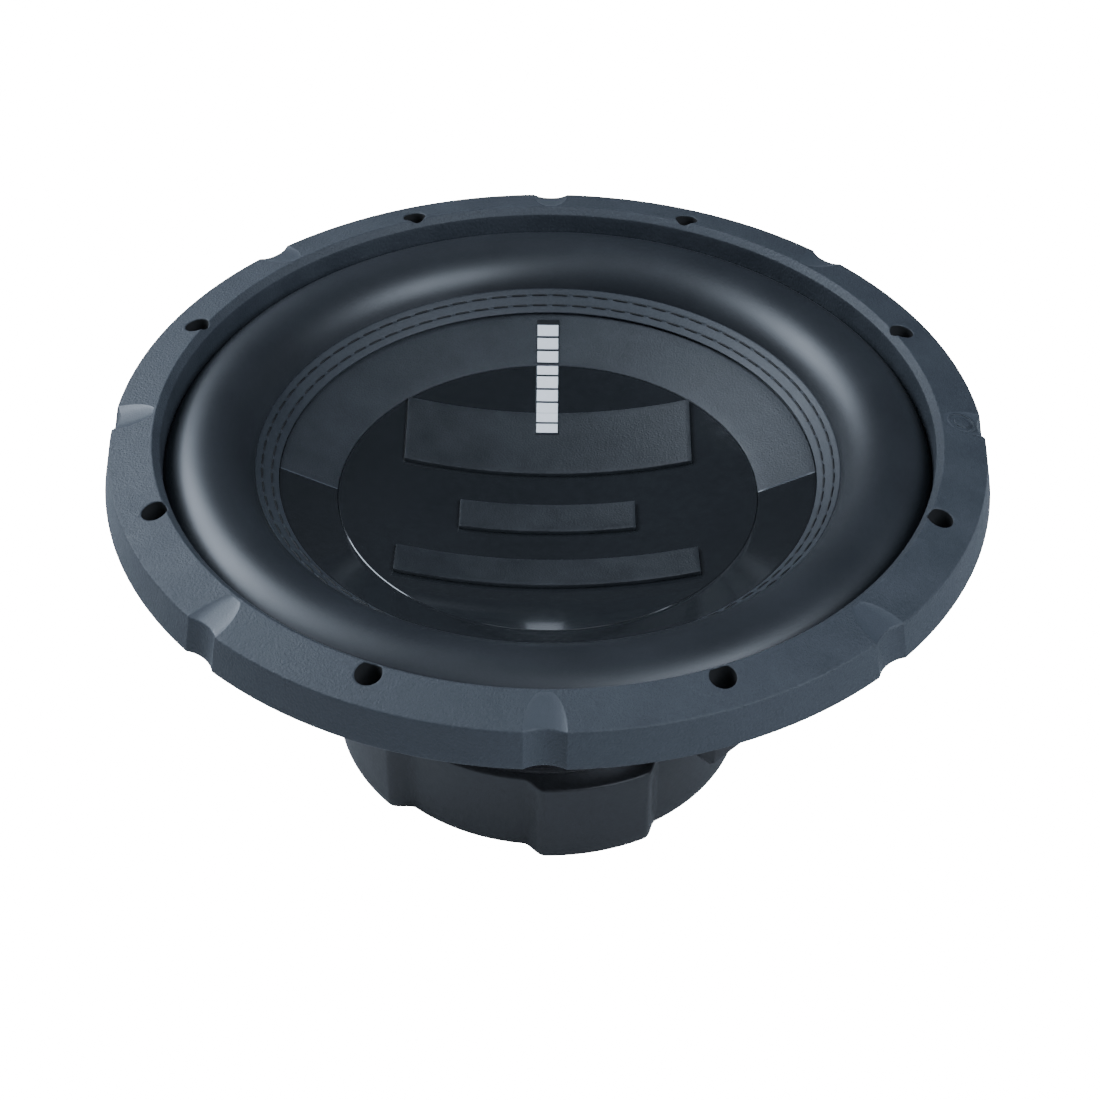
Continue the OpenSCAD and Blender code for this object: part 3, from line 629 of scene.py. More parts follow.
fillet = rounded([(156, face_height(156)), (edge_r, edge_z), (foot_r, seat_z), (157, seat_z)],
                 [0, 0.8, 0.6, 0], steps=6, closed=False)
corner_rows, foot_rows = fillet[1:7], fillet[7:13]
wall_rows = np.stack([np.linspace(corner_rows[-1, 0], foot_rows[0, 0], 9)[1:-1],
                      np.linspace(corner_rows[-1, 1], foot_rows[0, 1], 9)[1:-1]], -1)
under_r = top_r[::-1][np.searchsorted(-top_r[::-1], -156.9):]
under_z = np.interp(under_r, [144.0, 144.3, 156.0, 156.9], [133.4, 131.8, 131.8, 130.4])
bore_z = np.array([135.5, 138, 140.5, 142.8])
base_r = np.concatenate([top_r, corner_rows[:, 0], wall_rows[:, 0], foot_rows[:, 0], under_r,
                         np.full(4, bore_r)])
base_z = np.concatenate([face_height(top_r), corner_rows[:, 1], wall_rows[:, 1], foot_rows[:, 1], under_z,
                         bore_z])
count = np.cumsum([0, len(top_r), 6, len(wall_rows), 6, len(under_r), 4])
rows = np.arange(len(base_r))
is_top, is_corner = rows < count[1], (rows >= count[1]) & (rows < count[2])
is_wall, is_under = (rows >= count[2]) & (rows < count[4]), (rows >= count[4])
half = np.where(is_top | is_corner, notch_half(base_r), np.where(is_wall, wall_half, least_half))
half[is_under] = np.where(base_r[is_under] < 152, notch_half(base_r[is_under]), wall_half)
azimuth = ring_azimuth(base_r, half)
off = np.radians((azimuth + 22.5) % 45 - 22.5)
y = base_r[:, None] * np.sin(off)
scallop = scallop_depth(y)
corner_z = np.full_like(y, edge_z)
for _ in range(3):
    corner_r = edge_r + (edge_z - corner_z) * wall_lean - scallop
    corner_z = face_height(corner_r) - groove_depth(corner_r, y)
shift_r, shift_z = corner_r - edge_r, corner_z - edge_z
pull = np.clip((base_r - pull_from_r) / (edge_r - pull_from_r), 0, 1)[:, None] ** 1.5
ring_r = base_r[:, None] + np.where(is_top[:, None], pull * shift_r, 0)
ring_z = base_z[:, None] + 0 * y
ring_z = np.where(is_top[:, None], face_height(ring_r) - groove_depth(ring_r, y), ring_z)
ring_r = np.where(is_corner[:, None], base_r[:, None] + shift_r, ring_r)
ring_z = np.where(is_corner[:, None], base_z[:, None] + shift_z, ring_z)
squeeze = (base_z[:, None] - seat_z) * (corner_z - seat_z) / (edge_z - seat_z) + seat_z
ring_r = np.where(is_wall[:, None], base_r[:, None] - scallop - (squeeze - base_z[:, None]) * wall_lean,
                  ring_r)
ring_z = np.where(is_wall[:, None], squeeze, ring_z)
turn = np.radians(azimuth)
ring_x, ring_y = ring_r * np.cos(turn), ring_r * np.sin(turn)

nearest = np.radians(np.floor(azimuth / 45) * 45 + 22.5)
hole_x, hole_y = screw_circle_r * np.cos(nearest), screw_circle_r * np.sin(nearest)
ring_hole_r, hole_rim = 4.5, 0.35
gap = np.hypot(ring_x - hole_x, ring_y - hole_y) - ring_hole_r - hole_rim
side = np.ones(gap.shape, int)
top_rows, under_rows = np.arange(count[1]), np.arange(count[4], count[5])
moved = cut_points(gap[top_rows])
side[top_rows] = np.where(moved, 0, np.sign(gap[top_rows]))
match = np.searchsorted(top_r, under_r)
side[under_rows] = side[match]
on_edge = side == 0
reach = np.hypot(ring_x - hole_x, ring_y - hole_y)
scale = np.where(is_top[:, None], ring_hole_r + hole_rim, ring_hole_r) / np.maximum(reach, 0.1)
ring_x = np.where(on_edge, hole_x + (ring_x - hole_x) * scale, ring_x)
ring_y = np.where(on_edge, hole_y + (ring_y - hole_y) * scale, ring_y)
ring_z = np.where(on_edge & is_top[:, None], face_height(np.hypot(ring_x, ring_y)), ring_z)
points = np.stack([ring_x, ring_y, ring_z], -1).reshape(-1, 3)
faces = pierced(lattice_faces(*gap.shape, along=True), side.ravel())

ends = np.concatenate([faces[:, [k, (k + 1) % 4]] for k in range(4)])
ends = ends[ends[:, 0] != ends[:, 1]]
code = ends[:, 0].astype(np.int64) * len(points) + ends[:, 1]
back = ends[:, 1].astype(np.int64) * len(points) + ends[:, 0]
rim = ends[~np.isin(code, back)]
columns = gap.shape[1]
rim = rim[rim[:, 0] // columns < count[1]]
lower = np.full(count[1], -1)
lower[match] = under_rows
under_rim = lower[rim // columns] * columns + rim % columns
centre = np.stack([hole_x, hole_y, 0 * hole_x], -1).reshape(-1, 3)[rim.ravel()]
spoke = (points[rim.ravel()] - centre) * (1, 1, 0)
spoke /= np.linalg.norm(spoke, axis=1)[:, None]
ledges = []
for drop, reach in ((0.1, 0.12), (0.35, 0.0)):
    ledge = centre + spoke * (ring_hole_r + reach) + points[rim.ravel()] * (0, 0, 1) - (0, 0, drop)
    ledges.append(len(points) + np.arange(len(ledge)).reshape(-1, 2))
    points = np.concatenate([points, ledge])
levels = [rim, *ledges, under_rim]
walls = [np.stack([a[:, 1], a[:, 0], b[:, 0], b[:, 1]], -1) for a, b in zip(levels[:-1], levels[1:])]
faces = np.concatenate([faces, *walls])
trim_rubber = finish("trim_rubber", (0.026, 0.032, 0.039), (0.038, 0.045, 0.054), 0.48, 0.68, 1100.0, 0.00034,
                     drift=60.0, Specular_IOR_Level=0.5)
# Painted shadow: a near-black copy of the rubber for the faces inside the screw holes.
painted_hole_shadow = finish("painted_hole_shadow", (0.0015, 0.0017, 0.002), (0.0028, 0.003, 0.0033), 0.85, 0.95,
                    900.0, 0.00002)
# Notch floors: smooth cut rubber with lower roughness, and a lighter colour that is painted light.
smooth_rubber_painted_light = finish("smooth_rubber_painted_light", (0.040, 0.047, 0.056), (0.047, 0.055, 0.065), 0.40, 0.50,
                       1500.0, 0.00008, Specular_IOR_Level=0.55)
trim = piece("trim_ring", points, faces, [trim_rubber, painted_hole_shadow, smooth_rubber_painted_light], crease=50)
middles = face_middles(trim)
by_hole = np.round((np.degrees(np.arctan2(middles[:, 1], middles[:, 0])) - 22.5) / 45) * 45 + 22.5
hole_gap = np.hypot(middles[:, 0] - screw_circle_r * np.cos(np.radians(by_hole)),
                    middles[:, 1] - screw_circle_r * np.sin(np.radians(by_hole)))
# Faces inside the screw holes take the painted shadow.
in_hole = hole_gap < ring_hole_r + 0.03
middle_r = np.hypot(middles[:, 0], middles[:, 1])
from_notch = np.abs((np.degrees(np.arctan2(middles[:, 1], middles[:, 0])) + 22.5) % 45 - 22.5)
# Upward faces in the notches take the smooth rubber with painted light.
in_notch = middle_r * np.radians(from_notch) < notch_half(middle_r) * (middle_r > groove_from + 0.6)
upward = np.zeros(len(middles) * 3, np.float32)
trim.data.polygons.foreach_get("normal", upward)
in_notch &= (middles[:, 2] > 136) & (upward[2::3] > 0.85)
trim.data.polygons.foreach_set("material_index", np.where(in_hole, 1, 2 * in_notch).astype(np.int32))
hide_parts("gasket_ring")

badge_tilt = math.atan(face_fall)
boss_section = rounded([(0, 0), (3.0, 0), (3.0, -0.5), (4.4, -0.5), (4.4, 0), (5.6, 0), (5.6, -4), (0, -4)],
                       [0, 0.2, 0.2, 0.2, 0.2, 0.5, 0.1, 0], steps=4, closed=False)
boss_points = revolved(boss_section[:, 0], boss_section[:, 1], np.arange(0, 360, 6.0))
boss_x, boss_y, boss_z = np.moveaxis(boss_points, -1, 0)
boss_points = np.stack([boss_x * math.cos(badge_tilt) + boss_z * math.sin(badge_tilt) + boss_r, boss_y,
                        boss_z * math.cos(badge_tilt) - boss_x * math.sin(badge_tilt)
                        + face_height(boss_r) - 0.1], -1)
boss = piece("trim_boss", boss_points, lattice_faces(*boss_points.shape[:2]), [trim_rubber])


# Surround: a half roll of butyl rubber 1.6 mm thick. Its outer lip is clamped under the trim
# ring and its inner flange runs in under the stitched band.
def weigh(thing):
    """Frees a piece from its parent and bakes its placement into its mesh."""
    thing.parent = None
    thing.matrix_world = Matrix.Identity(4)
    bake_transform(thing)


def spots(thing):
    """The mesh's points in millimetres, and their radius from the axis."""
    flat = np.zeros(len(thing.data.vertices) * 3, np.float32)
    thing.data.vertices.foreach_get("co", flat)
    points = flat.reshape(-1, 3) / mm
    return points, np.hypot(points[:, 0], points[:, 1])


roll_r, roll_t, mid_r, mid_z, lip_top = 17.6, 1.6, 124.9, 125.8, 133.4
roll_turn = np.radians(np.linspace(25.6, 163.5, 44))
over = np.stack([mid_r + roll_r * np.cos(roll_turn), mid_z + roll_r * np.sin(roll_turn)], -1)
under_turn = np.radians(np.linspace(160.5, 23.0, 36))
below = np.stack([mid_r + (roll_r - roll_t) * np.cos(under_turn),
                  mid_z + (roll_r - roll_t) * np.sin(under_turn)], -1)
flange_top = np.array([(107.75, 129.9), (107.3, 129.25), (106.0, 128.25), (104.6, 127.2)])
flange_low = np.array([(104.8, 126.6), (106.9, 128.05), (108.4, 129.3), (109.3, 130.4)])
outer_lip = np.array([(139.2, 131.85), (143.8, 131.85), (144.0, 132.1), (144.0, 133.1), (143.8, lip_top),
                      (141.6, lip_top)])
roll_section = np.concatenate([over, flange_top, flange_low, below, outer_lip])
roll_az = np.arange(0, 360, 1.25)
surround_rubber = finish("surround_rubber", (0.013, 0.015, 0.018), (0.020, 0.023, 0.027), 0.39, 0.47, 1500.0,
                         0.00002, drift=30.0, Specular_IOR_Level=0.55)
surround = piece("half_roll_surround", revolved(roll_section[:, 0], roll_section[:, 1], roll_az),
                 lattice_faces(len(roll_section), len(roll_az), along=True), [surround_rubber],
                 crease=60, body=None)
points, r = spots(surround)
weigh(surround)
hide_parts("surround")


# Edge band: a flat rubberised ring glued over the cone's edge and the surround's inner flange,
# with two rows of black lockstitch that lie in shallow grooves between needle holes.
band_in, band_out = np.array([99.5, 124.2]), np.array([107.8, 130.6])
band_wide = np.linalg.norm(band_out - band_in)
band_along = (band_out - band_in) / band_wide
band_up = np.array([-band_along[1], band_along[0]])
row_u = [3.2, 7.5]
stitch_count = 80
band_u = np.unique(np.round(np.concatenate(
    [np.arange(0.7, band_wide - 0.6, 0.42)]
    + [u + np.array([-0.9, -0.6, -0.42, -0.28, -0.14, 0, 0.14, 0.28, 0.42, 0.6, 0.9]) for u in row_u]), 2))
band_az = np.arange(0, 360, 0.375)
band_edge = rounded([(0, -0.9), (0, 0), (band_wide, 0), (band_wide, -1.45)], [0, 0.3, 0.55, 0], 5, False)
band_section = np.concatenate([band_edge[:6], np.stack([band_u, 0 * band_u], -1), band_edge[6:],
                               [(band_wide * 0.5, -1.45), (2.0, -1.45)]])
slant = 0.16


def stitch_phase(u, azimuth):
    """Distance in millimetres along a row from the nearest needle hole, between two stitches."""
    pitch_deg = 360 / stitch_count
    return ((azimuth / pitch_deg + 0.5) % 1 - 0.5) * np.radians(pitch_deg) * (band_in[0] + u * band_along[0])


u, azimuth = np.meshgrid(band_section[:, 0], band_az, indexing="ij")
height = np.broadcast_to(band_section[:, 1:], u.shape).copy()
for at in row_u:
    away = np.exp(-((u - at) / 0.34) ** 2)
    hole = np.exp(-(stitch_phase(at, azimuth) / 0.75) ** 2)
    height -= np.where(height > -0.9, away * (0.12 + 0.30 * hole), 0)
band_r = band_in[0] + u * band_along[0] + height * band_up[0]
band_z = band_in[1] + u * band_along[1] + height * band_up[1]
band_rubber = finish("band_rubber", (0.020, 0.024, 0.029), (0.036, 0.042, 0.049), 0.48, 0.62, 1100.0, 0.00014,
                     drift=22.0, Specular_IOR_Level=0.5)
band = piece("stitched_band", revolved(band_r, band_z, band_az), lattice_faces(*u.shape, along=True),
             [band_rubber], body="cone_body", crease=70)
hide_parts("edge_band")


def threads(azimuths, at, thick=0.42, sides=6, steps=9):
    """Stitches as bent tubes: each runs level over the band, then dips into the hole at each end.

    Height = -1.1 times the sixth power of the place from -1 to 1 along the stitch, plus a little.
    """
    place = np.linspace(-1, 1, steps)
    lift = 0.06 - 1.1 * np.abs(place) ** 6
    round_turn = np.radians(np.arange(sides) * 360 / sides)
    fat = thick * np.sqrt(np.clip(1.02 - np.abs(place) ** 8, 0.1, 1))
    radius = band_in[0] + at * band_along[0]
    run = np.radians(azimuths)[:, None] + place[None] * (0.5 * 2 * math.pi / stitch_count - 0.35 / radius)
    sideways = at + slant * place * 0.5
    u = sideways[None, :, None] + fat[None, :, None] * np.cos(round_turn) + 0 * run[:, :, None]
    h = lift[None, :, None] + fat[None, :, None] * np.sin(round_turn) + 0 * run[:, :, None]
    r = band_in[0] + u * band_along[0] + h * band_up[0]
    z = band_in[1] + u * band_along[1] + h * band_up[1]
    turn = run[:, :, None] + 0 * u
    tube = lattice_faces(steps, sides)
    cap = np.array([[0, 1, 2, 5], [2, 3, 4, 5]])
    tube = np.concatenate([tube, cap[:, ::-1], cap + (steps - 1) * sides])
    faces = (tube[None] + np.arange(len(azimuths))[:, None, None] * steps * sides).reshape(-1, 4)
    return np.stack([r * np.cos(turn), r * np.sin(turn), z], -1).reshape(-1, 3), faces


stitch_az = (np.arange(stitch_count) + 0.5) * 360 / stitch_count
first, first_faces = threads(stitch_az, row_u[0])
second, second_faces = threads(stitch_az, row_u[1])
thread = finish("bonded_thread", (0.002, 0.0025, 0.003), (0.006, 0.007, 0.008), 0.6, 0.75, 2500.0, 0.0001,
                drift=300.0)
stitches = piece("band_stitches", np.concatenate([first, second]),
                 np.concatenate([first_faces, second_faces + len(first)]), [thread],
                 body="cone_body", crease=80)


# Cone: pressed pulp stiffened with a moulded skin. The rear half is matt and stands a quarter of
# a millimetre proud of the front half, which is lacquered to a gloss. A painted highlight runs
# along the step where the lacquer ends.
cone_section = finely(rounded(
    [(32.1, 82), (33.3, 82), (33.3, 85), (78.7, 109.8), (100.8, 122.2), (107.8, 127.6), (107.8, 129.05),
     (101.4, 124.16), (100.9, 122.9), (99.9, 122.6), (99.5, 123.05), (78.75, 112.7), (78.75, 111.35),
     (32.1, 86.5)],
    [0.2, 0.2, 1.0, 0.6, 0.6, 0.4, 0.3, 0.1, 0.2, 0.2, 0.2, 0.35, 0.1, 0.2], steps=5), 2.4)
right_split, left_split = -1.0, 181.2
shelf_in, shelf_out = 79.4, 99.3
split_az = np.array([right_split, left_split])
split_step = np.array([-0.5, -0.2, -0.08, 0.0, 0.08, 0.2, 0.5])
cone_az = np.concatenate([np.arange(1.5, 180.5, 1.5), np.arange(183, 358, 1.5),
                          (split_az[:, None] + split_step[None]).ravel()])
cone_az = np.unique(np.round(cone_az % 360, 4))
turned_az = (cone_az + 180) % 360 - 180
past_back = np.where(turned_az < -90, turned_az + 360, turned_az)
rear = np.clip(0.5 + np.minimum(turned_az - right_split, left_split - past_back) / 0.16, 0, 1)
wall_mid = [78.7, 100.8, 107.8], [112.0, 123.0, 128.4]
upper = cone_section[:, 1] > np.interp(cone_section[:, 0], *wall_mid)
upper &= (cone_section[:, 0] > shelf_in) & (cone_section[:, 0] < shelf_out)
cone_z = cone_section[:, 1:] + 0.28 * upper[:, None] * rear[None]
cone_skin = finish("cone_matt", (0.019, 0.022, 0.025), (0.031, 0.035, 0.040), 0.44, 0.60, 1300.0, 0.00024,
                   drift=70.0, Specular_IOR_Level=0.42)
lacquer = finish("gloss_lacquer", (0.010, 0.0115, 0.013), (0.016, 0.018, 0.020), 0.10, 0.16, 300.0, 0.00001,
                 drift=14.0, Specular_IOR_Level=0.5, Coat_Weight=0.6, Coat_Roughness=0.06)
cone_points = revolved(cone_section[:, 0], cone_z, cone_az)
cone_faces = lattice_faces(len(cone_section), len(cone_az), along=True)
# Painted highlight: a light strip on the faces along the step between matt and gloss.
painted_split_highlight = finish("painted_split_highlight", (0.055, 0.062, 0.070), (0.080, 0.088, 0.098), 0.25, 0.35,
                      300.0, 0.00001)
cone = piece("pressed_cone", cone_points, cone_faces, [cone_skin, lacquer, painted_split_highlight],
             body="cone_body", crease=30)
middles = face_middles(cone)
middle_r = np.hypot(middles[:, 0], middles[:, 1])
shelf = middles[:, 2] > np.interp(middle_r, *wall_mid) - 0.4
glossy = shelf & (middle_r < 101.3) & (middles[:, 1] < -np.interp(middle_r, [78, 101], [1.5, 1.9]))
middle_az = np.degrees(np.arctan2(middles[:, 1], middles[:, 0]))
# Faces along the step take the painted highlight.
at_split = np.minimum(np.abs(middle_az - right_split), np.abs((middle_az % 360) - left_split)) < 0.2
at_split &= shelf & (middle_r > shelf_in) & (middle_r < shelf_out)
cone.data.polygons.foreach_set("material_index", np.where(at_split, 2, glossy).astype(np.int32))
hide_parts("cone")


# Centre cap: a dished disc of gloss black plastic glued into the cone, with three plain matt
# bars a millimetre and a half proud of it.
cap_r, cap_low = 78.6, 98.0
dish_r = (78.7 ** 2 + 14.7 ** 2) / (2 * 14.7)


def dish(r, proud=0.0):
    """Height of the dish: a sphere of dish_r over the axis, moved in by how proud the surface stands."""
    return cap_low + dish_r - np.sqrt((dish_r - proud) ** 2 - r * r)


cap_over = np.concatenate([np.linspace(0, 77.4, 52), [77.9, 78.3]])
cap_section = np.concatenate([
    np.stack([cap_over, dish(cap_over)], -1), [(cap_r - 0.02, dish(78.5) - 0.25), (cap_r, dish(78.5) - 0.6)],
    np.stack([cap_over[::-2], dish(cap_over[::-2], -1.2)], -1)])
cap_section[-1, 0] = 0
cap = piece("dished_cap", revolved(cap_section[:, 0], cap_section[:, 1], np.arange(0, 360, 2.0)),
            lattice_faces(len(cap_section), 180), [lacquer], body="cone_body", crease=40)
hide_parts("centre_cap")


def ease_edges(thing, width, least_angle, crease):
    """Rounds a piece's edges that turn by more than least_angle degrees, width in millimetres."""
    ease = thing.modifiers.new("eased_edges", "BEVEL")
    ease.width = width * mm
    ease.segments = 2
    ease.limit_method = "ANGLE"
    ease.angle_limit = math.radians(least_angle)
    settle(thing, crease)


def slab(name, x, y, top, low, material, soft=0.25, crease=35):
    """A plate over a grid of x and y, between the heights top(x, y) and low(x, y), with eased edges."""
    grid_x, grid_y = np.meshgrid(x, y)
    rows, columns = grid_x.shape
    upper = np.stack([grid_x, grid_y, top(grid_x, grid_y)], -1)
    lower = np.stack([grid_x, grid_y, low(grid_x, grid_y)], -1)
    number = np.arange(rows * columns).reshape(rows, columns)
    sheet = lattice_faces(rows, columns, around=False)
    loop = np.concatenate([number[0], number[1:, -1], number[-1, -2::-1], number[-2:0:-1, 0]])
    below = loop + rows * columns
    sides = np.stack([loop, below, np.roll(below, -1), np.roll(loop, -1)], -1)
    faces = np.concatenate([sheet, sheet[:, ::-1] + rows * columns, sides])
    made = piece(name, np.concatenate([upper.reshape(-1, 3), lower.reshape(-1, 3)]), faces, [material],
                 body="cone_body", weld=False)
    ease_edges(made, soft, 50, crease)
    return made


bar_matt = finish("bar_matt", (0.010, 0.012, 0.014), (0.018, 0.021, 0.024), 0.42, 0.58,
                  1300.0, 0.00022, drift=80.0)
bars = {"upper_bar": (55.4, 23.5, 55.0), "middle_bar": (33.24, -10.0, 6.0),
        "lower_bar": (55.4, -45.6, -28.0)}
for name, (half, low_y, high_y) in bars.items():
    bar = slab("raised_" + name, np.linspace(-half, half, 57), np.linspace(low_y, high_y, 17),
               lambda x, y: dish(np.hypot(x, y), 1.6), lambda x, y: dish(np.hypot(x, y), 0.02), bar_matt)
    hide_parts(name)


# Badge: a thin dark strip with a row of plain white blocks, laid along the cone and the cap.
def badge_height(x, y, proud):
    """Height of the strip's path: the matt skin outside the cap, then the dish, then the upper bar."""
    r = np.hypot(x, y)
    on_cone = np.interp(r, [78.7, 100.8], [112.98, 123.98])
    on_bar = dish(r, 1.6)
    return np.where(r > 78.9, on_cone, np.where(y > 55.0, dish(r), on_bar)) + proud


badge_x = -0.6
strip_black = finish("strip_black", (0.008, 0.009, 0.010), (0.014, 0.015, 0.017), 0.3, 0.4, 900.0, 0.00002)
block_white = finish("block_white", (0.80, 0.81, 0.82), (0.90, 0.90, 0.90), 0.35, 0.5, 700.0, 0.00002)
strips = {"outer": (79.3, 97.0), "dish": (55.4, 78.3), "bar": (44.0, 54.6)}
for name, (near_y, far_y) in strips.items():
    slab("badge_strip_" + name, np.linspace(-4.7, 4.7, 7) + badge_x, np.linspace(near_y, far_y, 15),
         lambda x, y: badge_height(x, y, 0.16), lambda x, y: badge_height(x, y, -0.05), strip_black,
         soft=0.05)
block_ends = [(44.8, 49.2), (50.1, 54.5), (55.7, 61.0), (61.9, 67.2), (68.1, 73.4), (74.3, 78.2),
              (79.5, 84.0), (84.9, 89.4), (90.3, 94.8)]
for number, (near_y, far_y) in enumerate(block_ends):
    slab(f"badge_block_{number}", np.linspace(-4.2, 4.2, 5) + badge_x, np.linspace(near_y, far_y, 5),
         lambda x, y: badge_height(x, y, 0.3), lambda x, y: badge_height(x, y, 0.1), block_white,
         soft=0.05)


# Suspension below the cone: a spider of resin stiffened cotton, corrugated in six rolls, glued
# to the basket's shelf and to the paper collar on the coil former.
weave_tree, takes, gives = shader_group(
    "cloth_weave", {"Vector": ("Vector", None), "Threads": ("Float", 1300.0), "Uneven": ("Float", 0.25)},
    {"Height": "Float", "Mask": "Float"})
wander = put(weave_tree, "ShaderNodeTexNoise", {"Vector": takes["Vector"], "Scale": 200.0, "Detail": 2.0})
waver = put(weave_tree, "ShaderNodeMath", {0: wander.outputs[0], 1: takes["Uneven"]}, operation="MULTIPLY")
apart = put(weave_tree, "ShaderNodeSeparateXYZ", {0: takes["Vector"]})
waves = []
for label in ("X", "Y"):
    dense = put(weave_tree, "ShaderNodeMath", {0: apart.outputs[label], 1: takes["Threads"]},
                operation="MULTIPLY")
    moved_on = put(weave_tree, "ShaderNodeMath", {0: dense.outputs[0], 1: waver.outputs[0]}, operation="ADD")
    turned_by = put(weave_tree, "ShaderNodeMath", {0: moved_on.outputs[0], 1: math.pi}, operation="MULTIPLY")
    waves.append(put(weave_tree, "ShaderNodeMath", {0: turned_by.outputs[0]}, operation="SINE").outputs[0])
crossed = put(weave_tree, "ShaderNodeMath", {0: waves[0], 1: waves[1]}, operation="MULTIPLY").outputs[0]
weave_tree.links.new(remap(weave_tree, crossed, -1, 1), gives["Height"])
weave_tree.links.new(remap(weave_tree, crossed, -0.7, 0.7), gives["Mask"])


def woven(name, dark, light, smooth, rough, threads_per_m, depth, **plain_sockets):
    """A cloth or braid: the plain finish with painted shade between its threads, raised along them."""
    made = finish(name, dark, light, smooth, rough, 900.0, depth, drift=40.0, **plain_sockets)
    tree = made.node_tree
    cloth = tree.nodes.new("ShaderNodeGroup")
    cloth.node_tree = weave_tree
    tree.links.new(tree.nodes["Texture Coordinate"].outputs["Object"], cloth.inputs["Vector"])
    cloth.inputs["Threads"].default_value = threads_per_m
    # Painted shade: the colour falls to 0.35 of the dark colour between the threads.
    shade = mix_colours(tree, cloth.outputs["Mask"], (*[0.35 * c for c in dark], 1),
                        tree.nodes["grain"].outputs["Colour"])
    tree.links.new(shade, tree.nodes["Principled BSDF"].inputs["Base Color"])
    tree.links.new(cloth.outputs["Height"], tree.nodes["bump"].inputs["Height"])
    return made


spider_base, spider_wave, spider_in, spider_out = 69.8, 2.0, 35.0, 66.5


def spider_height(r):
    """Middle of the cloth: level on the landing, and six cosine rolls between 35 and 66.5 mm."""
    turns = (spider_out - np.clip(r, spider_in, spider_out)) / (spider_out - spider_in) * 6
    return spider_base + 0.4 + spider_wave * (1 - np.cos(2 * math.pi * turns))


spider_r = np.concatenate([np.linspace(73.9, 67.5, 4), np.linspace(spider_out, spider_in, 97)])
spider_line = np.concatenate([np.stack([spider_r, spider_height(spider_r)], -1), [(34.2, 70.4), (33.6, 71.2)],
                              np.stack([np.full(4, 33.35), np.linspace(72, 74.6, 4)], -1)])
spider_az = np.arange(0, 360, 1.8)
spider_cloth = woven("spider_cloth", (0.30, 0.19, 0.04), (0.46, 0.31, 0.08), 0.6, 0.8, 1100.0, 0.0002)
spider = piece("corrugated_spider", revolved(spider_line[:, 0], spider_line[:, 1], spider_az),
               lattice_faces(len(spider_line), len(spider_az)), [spider_cloth], body=None, solid=False)
cloth_sheet = spider.modifiers.new("cloth", "SOLIDIFY")
cloth_sheet.thickness = 0.7 * mm
cloth_sheet.offset = 0
settle(spider, 60)
points, r = spots(spider)
weigh(spider)
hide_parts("spider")
former_film = finish("former_film", (0.42, 0.19, 0.05), (0.55, 0.28, 0.08), 0.25, 0.35, 500.0, 0.00001)
collar_paper = finish("collar_paper", (0.28, 0.20, 0.11), (0.42, 0.32, 0.19), 0.7, 0.85, 1500.0, 0.00008)
winding = finish("enamelled_winding", (0.34, 0.11, 0.03), (0.62, 0.25, 0.09), 0.22, 0.34, 600.0, 0.00003,
                 Metallic=0.9)
wraps = winding.node_tree
turns = put(wraps, "ShaderNodeSeparateXYZ", {0: wraps.nodes["Texture Coordinate"].outputs["Object"]})
many = put(wraps, "ShaderNodeMath", {0: turns.outputs["Z"], 1: 2 * math.pi / 0.0005}, operation="MULTIPLY")
ridge = put(wraps, "ShaderNodeMath", {0: many.outputs[0]}, operation="SINE")
wraps.links.new(remap(wraps, ridge.outputs[0], -1, 1), wraps.nodes["bump"].inputs["Height"])
dress("coil_former", former_film)
dress("coil_collar", collar_paper)
dress("voice_coil_inner", winding)
dress("voice_coil_outer", winding)
# Its lighter edge colour is a painted highlight along hard edges.
brass = finish("brass", (0.50, 0.34, 0.13), (0.68, 0.50, 0.22), 0.25, 0.4, 700.0, 0.00002,
               edge_highlight=(0.8, 0.66, 0.36), Metallic=1.0)
dress("lead_eyelets", brass)


# Tinsel leads: braided copper tinsel from the eyelets under the cone to the contacts. Each hangs
# in one arc, soldered at its fixed end.
lead_thick, lead_from, lead_top, lead_to = 0.9, (42.3, 86.4), (62.0, 86.5), (82.1, 75.2)


def circle_through(a, b, c):
    """Centre and radius of the circle through three points: where two chords' bisectors cross."""
    chords = 2 * np.array([np.subtract(b, a), np.subtract(c, a)])
    powers = [np.dot(b, b) - np.dot(a, a), np.dot(c, c) - np.dot(a, a)]
    middle = np.linalg.solve(chords, powers)
    return middle, np.linalg.norm(np.subtract(a, middle))


lead_middle, lead_reach = circle_through(lead_from, lead_top, lead_to)
first_turn = math.atan2(lead_from[1] - lead_middle[1], lead_from[0] - lead_middle[0])
last_turn = math.atan2(lead_to[1] - lead_middle[1], lead_to[0] - lead_middle[0])
lead_turn = np.linspace(first_turn, last_turn, 61)
ring_turn = np.radians(np.arange(0, 360, 22.5))
braid = woven("tinsel_braid", (0.42, 0.40, 0.38), (0.72, 0.70, 0.67), 0.3, 0.45, 1900.0, 0.0004, Metallic=1.0)
lead_apart = math.degrees(math.atan2(4.5, 78))
lead_az = {"left_a": 135 + lead_apart, "left_b": 135 - lead_apart,
           "right_a": -45 + lead_apart, "right_b": -45 - lead_apart}


def closed_ends(rings):
    """A tube's rings with one more at each end, drawn in to the end ring's middle."""
    tips = rings[[0, -1]].mean(1)[:, None] + 0 * rings[[0, -1]]
    return np.concatenate([tips[:1], rings, tips[1:]])


for name, azimuth in lead_az.items():
    swell = lead_thick * (1 + 0.07 * np.cos(np.linspace(0, 60 * math.pi, 61)))[:, None]
    reach = lead_reach + swell * np.cos(ring_turn)[None]
    r = lead_middle[0] + reach * np.cos(lead_turn)[:, None]
    z = lead_middle[1] + reach * np.sin(lead_turn)[:, None]
    sideways = swell * np.sin(ring_turn)[None]
    turn = math.radians(azimuth)
    points = closed_ends(np.stack([r * math.cos(turn) - sideways * math.sin(turn),
                                   r * math.sin(turn) + sideways * math.cos(turn), z], -1))
    lead = piece("lead_" + name, points, lattice_faces(*points.shape[:2]), [braid], body=None, crease=60)
    points, r = spots(lead)
    weigh(lead)
    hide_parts("tinsel_lead_" + name)


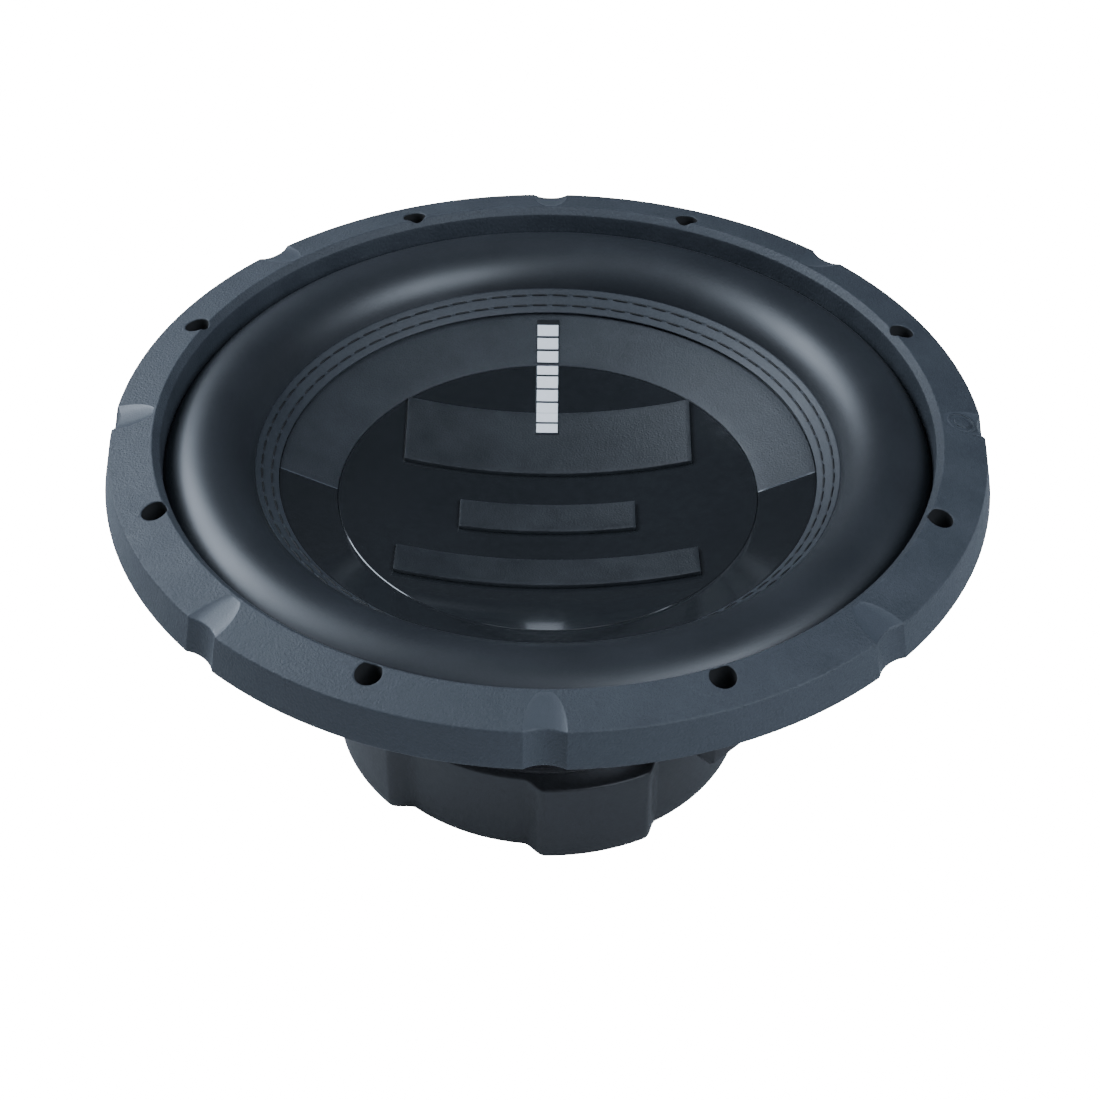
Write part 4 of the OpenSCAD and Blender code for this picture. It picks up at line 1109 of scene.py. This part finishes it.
# Terminals: two glass filled nylon blocks under the basket's shelf, each with a red and a black
# sprung button, a wire hole beside each button and brass contacts with a solder tail.
def softened(node, name, material, width, body, crease=35.0):
    """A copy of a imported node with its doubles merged, its flat faces joined and its edges eased."""
    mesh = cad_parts[node].data.copy()
    mesh.name = name
    shell = bmesh.new()
    shell.from_mesh(mesh)
    bmesh.ops.remove_doubles(shell, verts=shell.verts, dist=5e-6)
    bmesh.ops.dissolve_limit(shell, angle_limit=math.radians(1.0), verts=shell.verts, edges=shell.edges)
    shell.to_mesh(mesh)
    shell.free()
    mesh.materials.clear()
    mesh.materials.append(material)
    made = bpy.data.objects.new(name, mesh)
    bpy.context.scene.collection.objects.link(made)
    ease_edges(made, width, 40, crease)
    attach(made, body)
    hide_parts(node)
    return made


# Its lighter edge colour is a painted highlight along hard edges.
nylon = finish("glass_nylon", (0.012, 0.012, 0.013), (0.024, 0.024, 0.026), 0.42, 0.6, 650.0, 0.00008,
               drift=40.0, edge_highlight=(0.06, 0.06, 0.063), edge_highlight_r=0.0004)
red_plastic = finish("red_plastic", (0.42, 0.012, 0.012), (0.56, 0.022, 0.020), 0.30, 0.42, 500.0, 0.00003)
black_plastic = finish("black_plastic", (0.010, 0.010, 0.011), (0.020, 0.020, 0.021), 0.30, 0.42,
                       500.0, 0.00003)
for side_name in ("left", "right"):
    softened("terminal_block_" + side_name, "terminal_housing_" + side_name, nylon, 0.5,
             "basket_body")
    dress("contacts_" + side_name, brass)
    for colour, plastic in (("red", red_plastic), ("black", black_plastic)):
        button = f"button_{side_name}_{colour}"
        softened(button, "push_" + button, plastic, 0.6, button + "_body")
zinc_screw = finish("zinc_screw", (0.40, 0.41, 0.43), (0.56, 0.57, 0.58), 0.25, 0.4, 800.0, 0.00002,
                    Metallic=1.0)
dress("terminal_screws", zinc_screw)

spring_steel = finish("spring_steel", (0.35, 0.35, 0.36), (0.55, 0.55, 0.56), 0.2, 0.35, 800.0, 0.00002,
                      Metallic=1.0)
spring_turn = np.linspace(0, 2 * math.pi * 4, 97)[:, None]
wire_turn = np.radians(np.arange(0, 360, 45.0))[None]
wire_r, spring_r, spring_low, spring_high = 0.3, 2.4, 66.0, 73.0
for side_name in ("left", "right"):
    for colour in ("red", "black"):
        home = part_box(f"button_spring_{side_name}_{colour}")
        centre = (home[0] + home[1]) / 2 / mm
        reach = spring_r + wire_r * np.cos(wire_turn)
        rise = spring_low + wire_r + (spring_high - spring_low - 2 * wire_r) * spring_turn / spring_turn[-1]
        points = np.stack([centre.x + reach * np.cos(spring_turn), centre.y + reach * np.sin(spring_turn),
                           rise + wire_r * np.sin(wire_turn)], -1)
        points = closed_ends(points)
        coil = piece(f"return_spring_{side_name}_{colour}", points, lattice_faces(*points.shape[:2]),
                     [spring_steel], body=None, crease=60)
        points, r = spots(coil)
        weigh(coil)
        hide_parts(f"button_spring_{side_name}_{colour}")
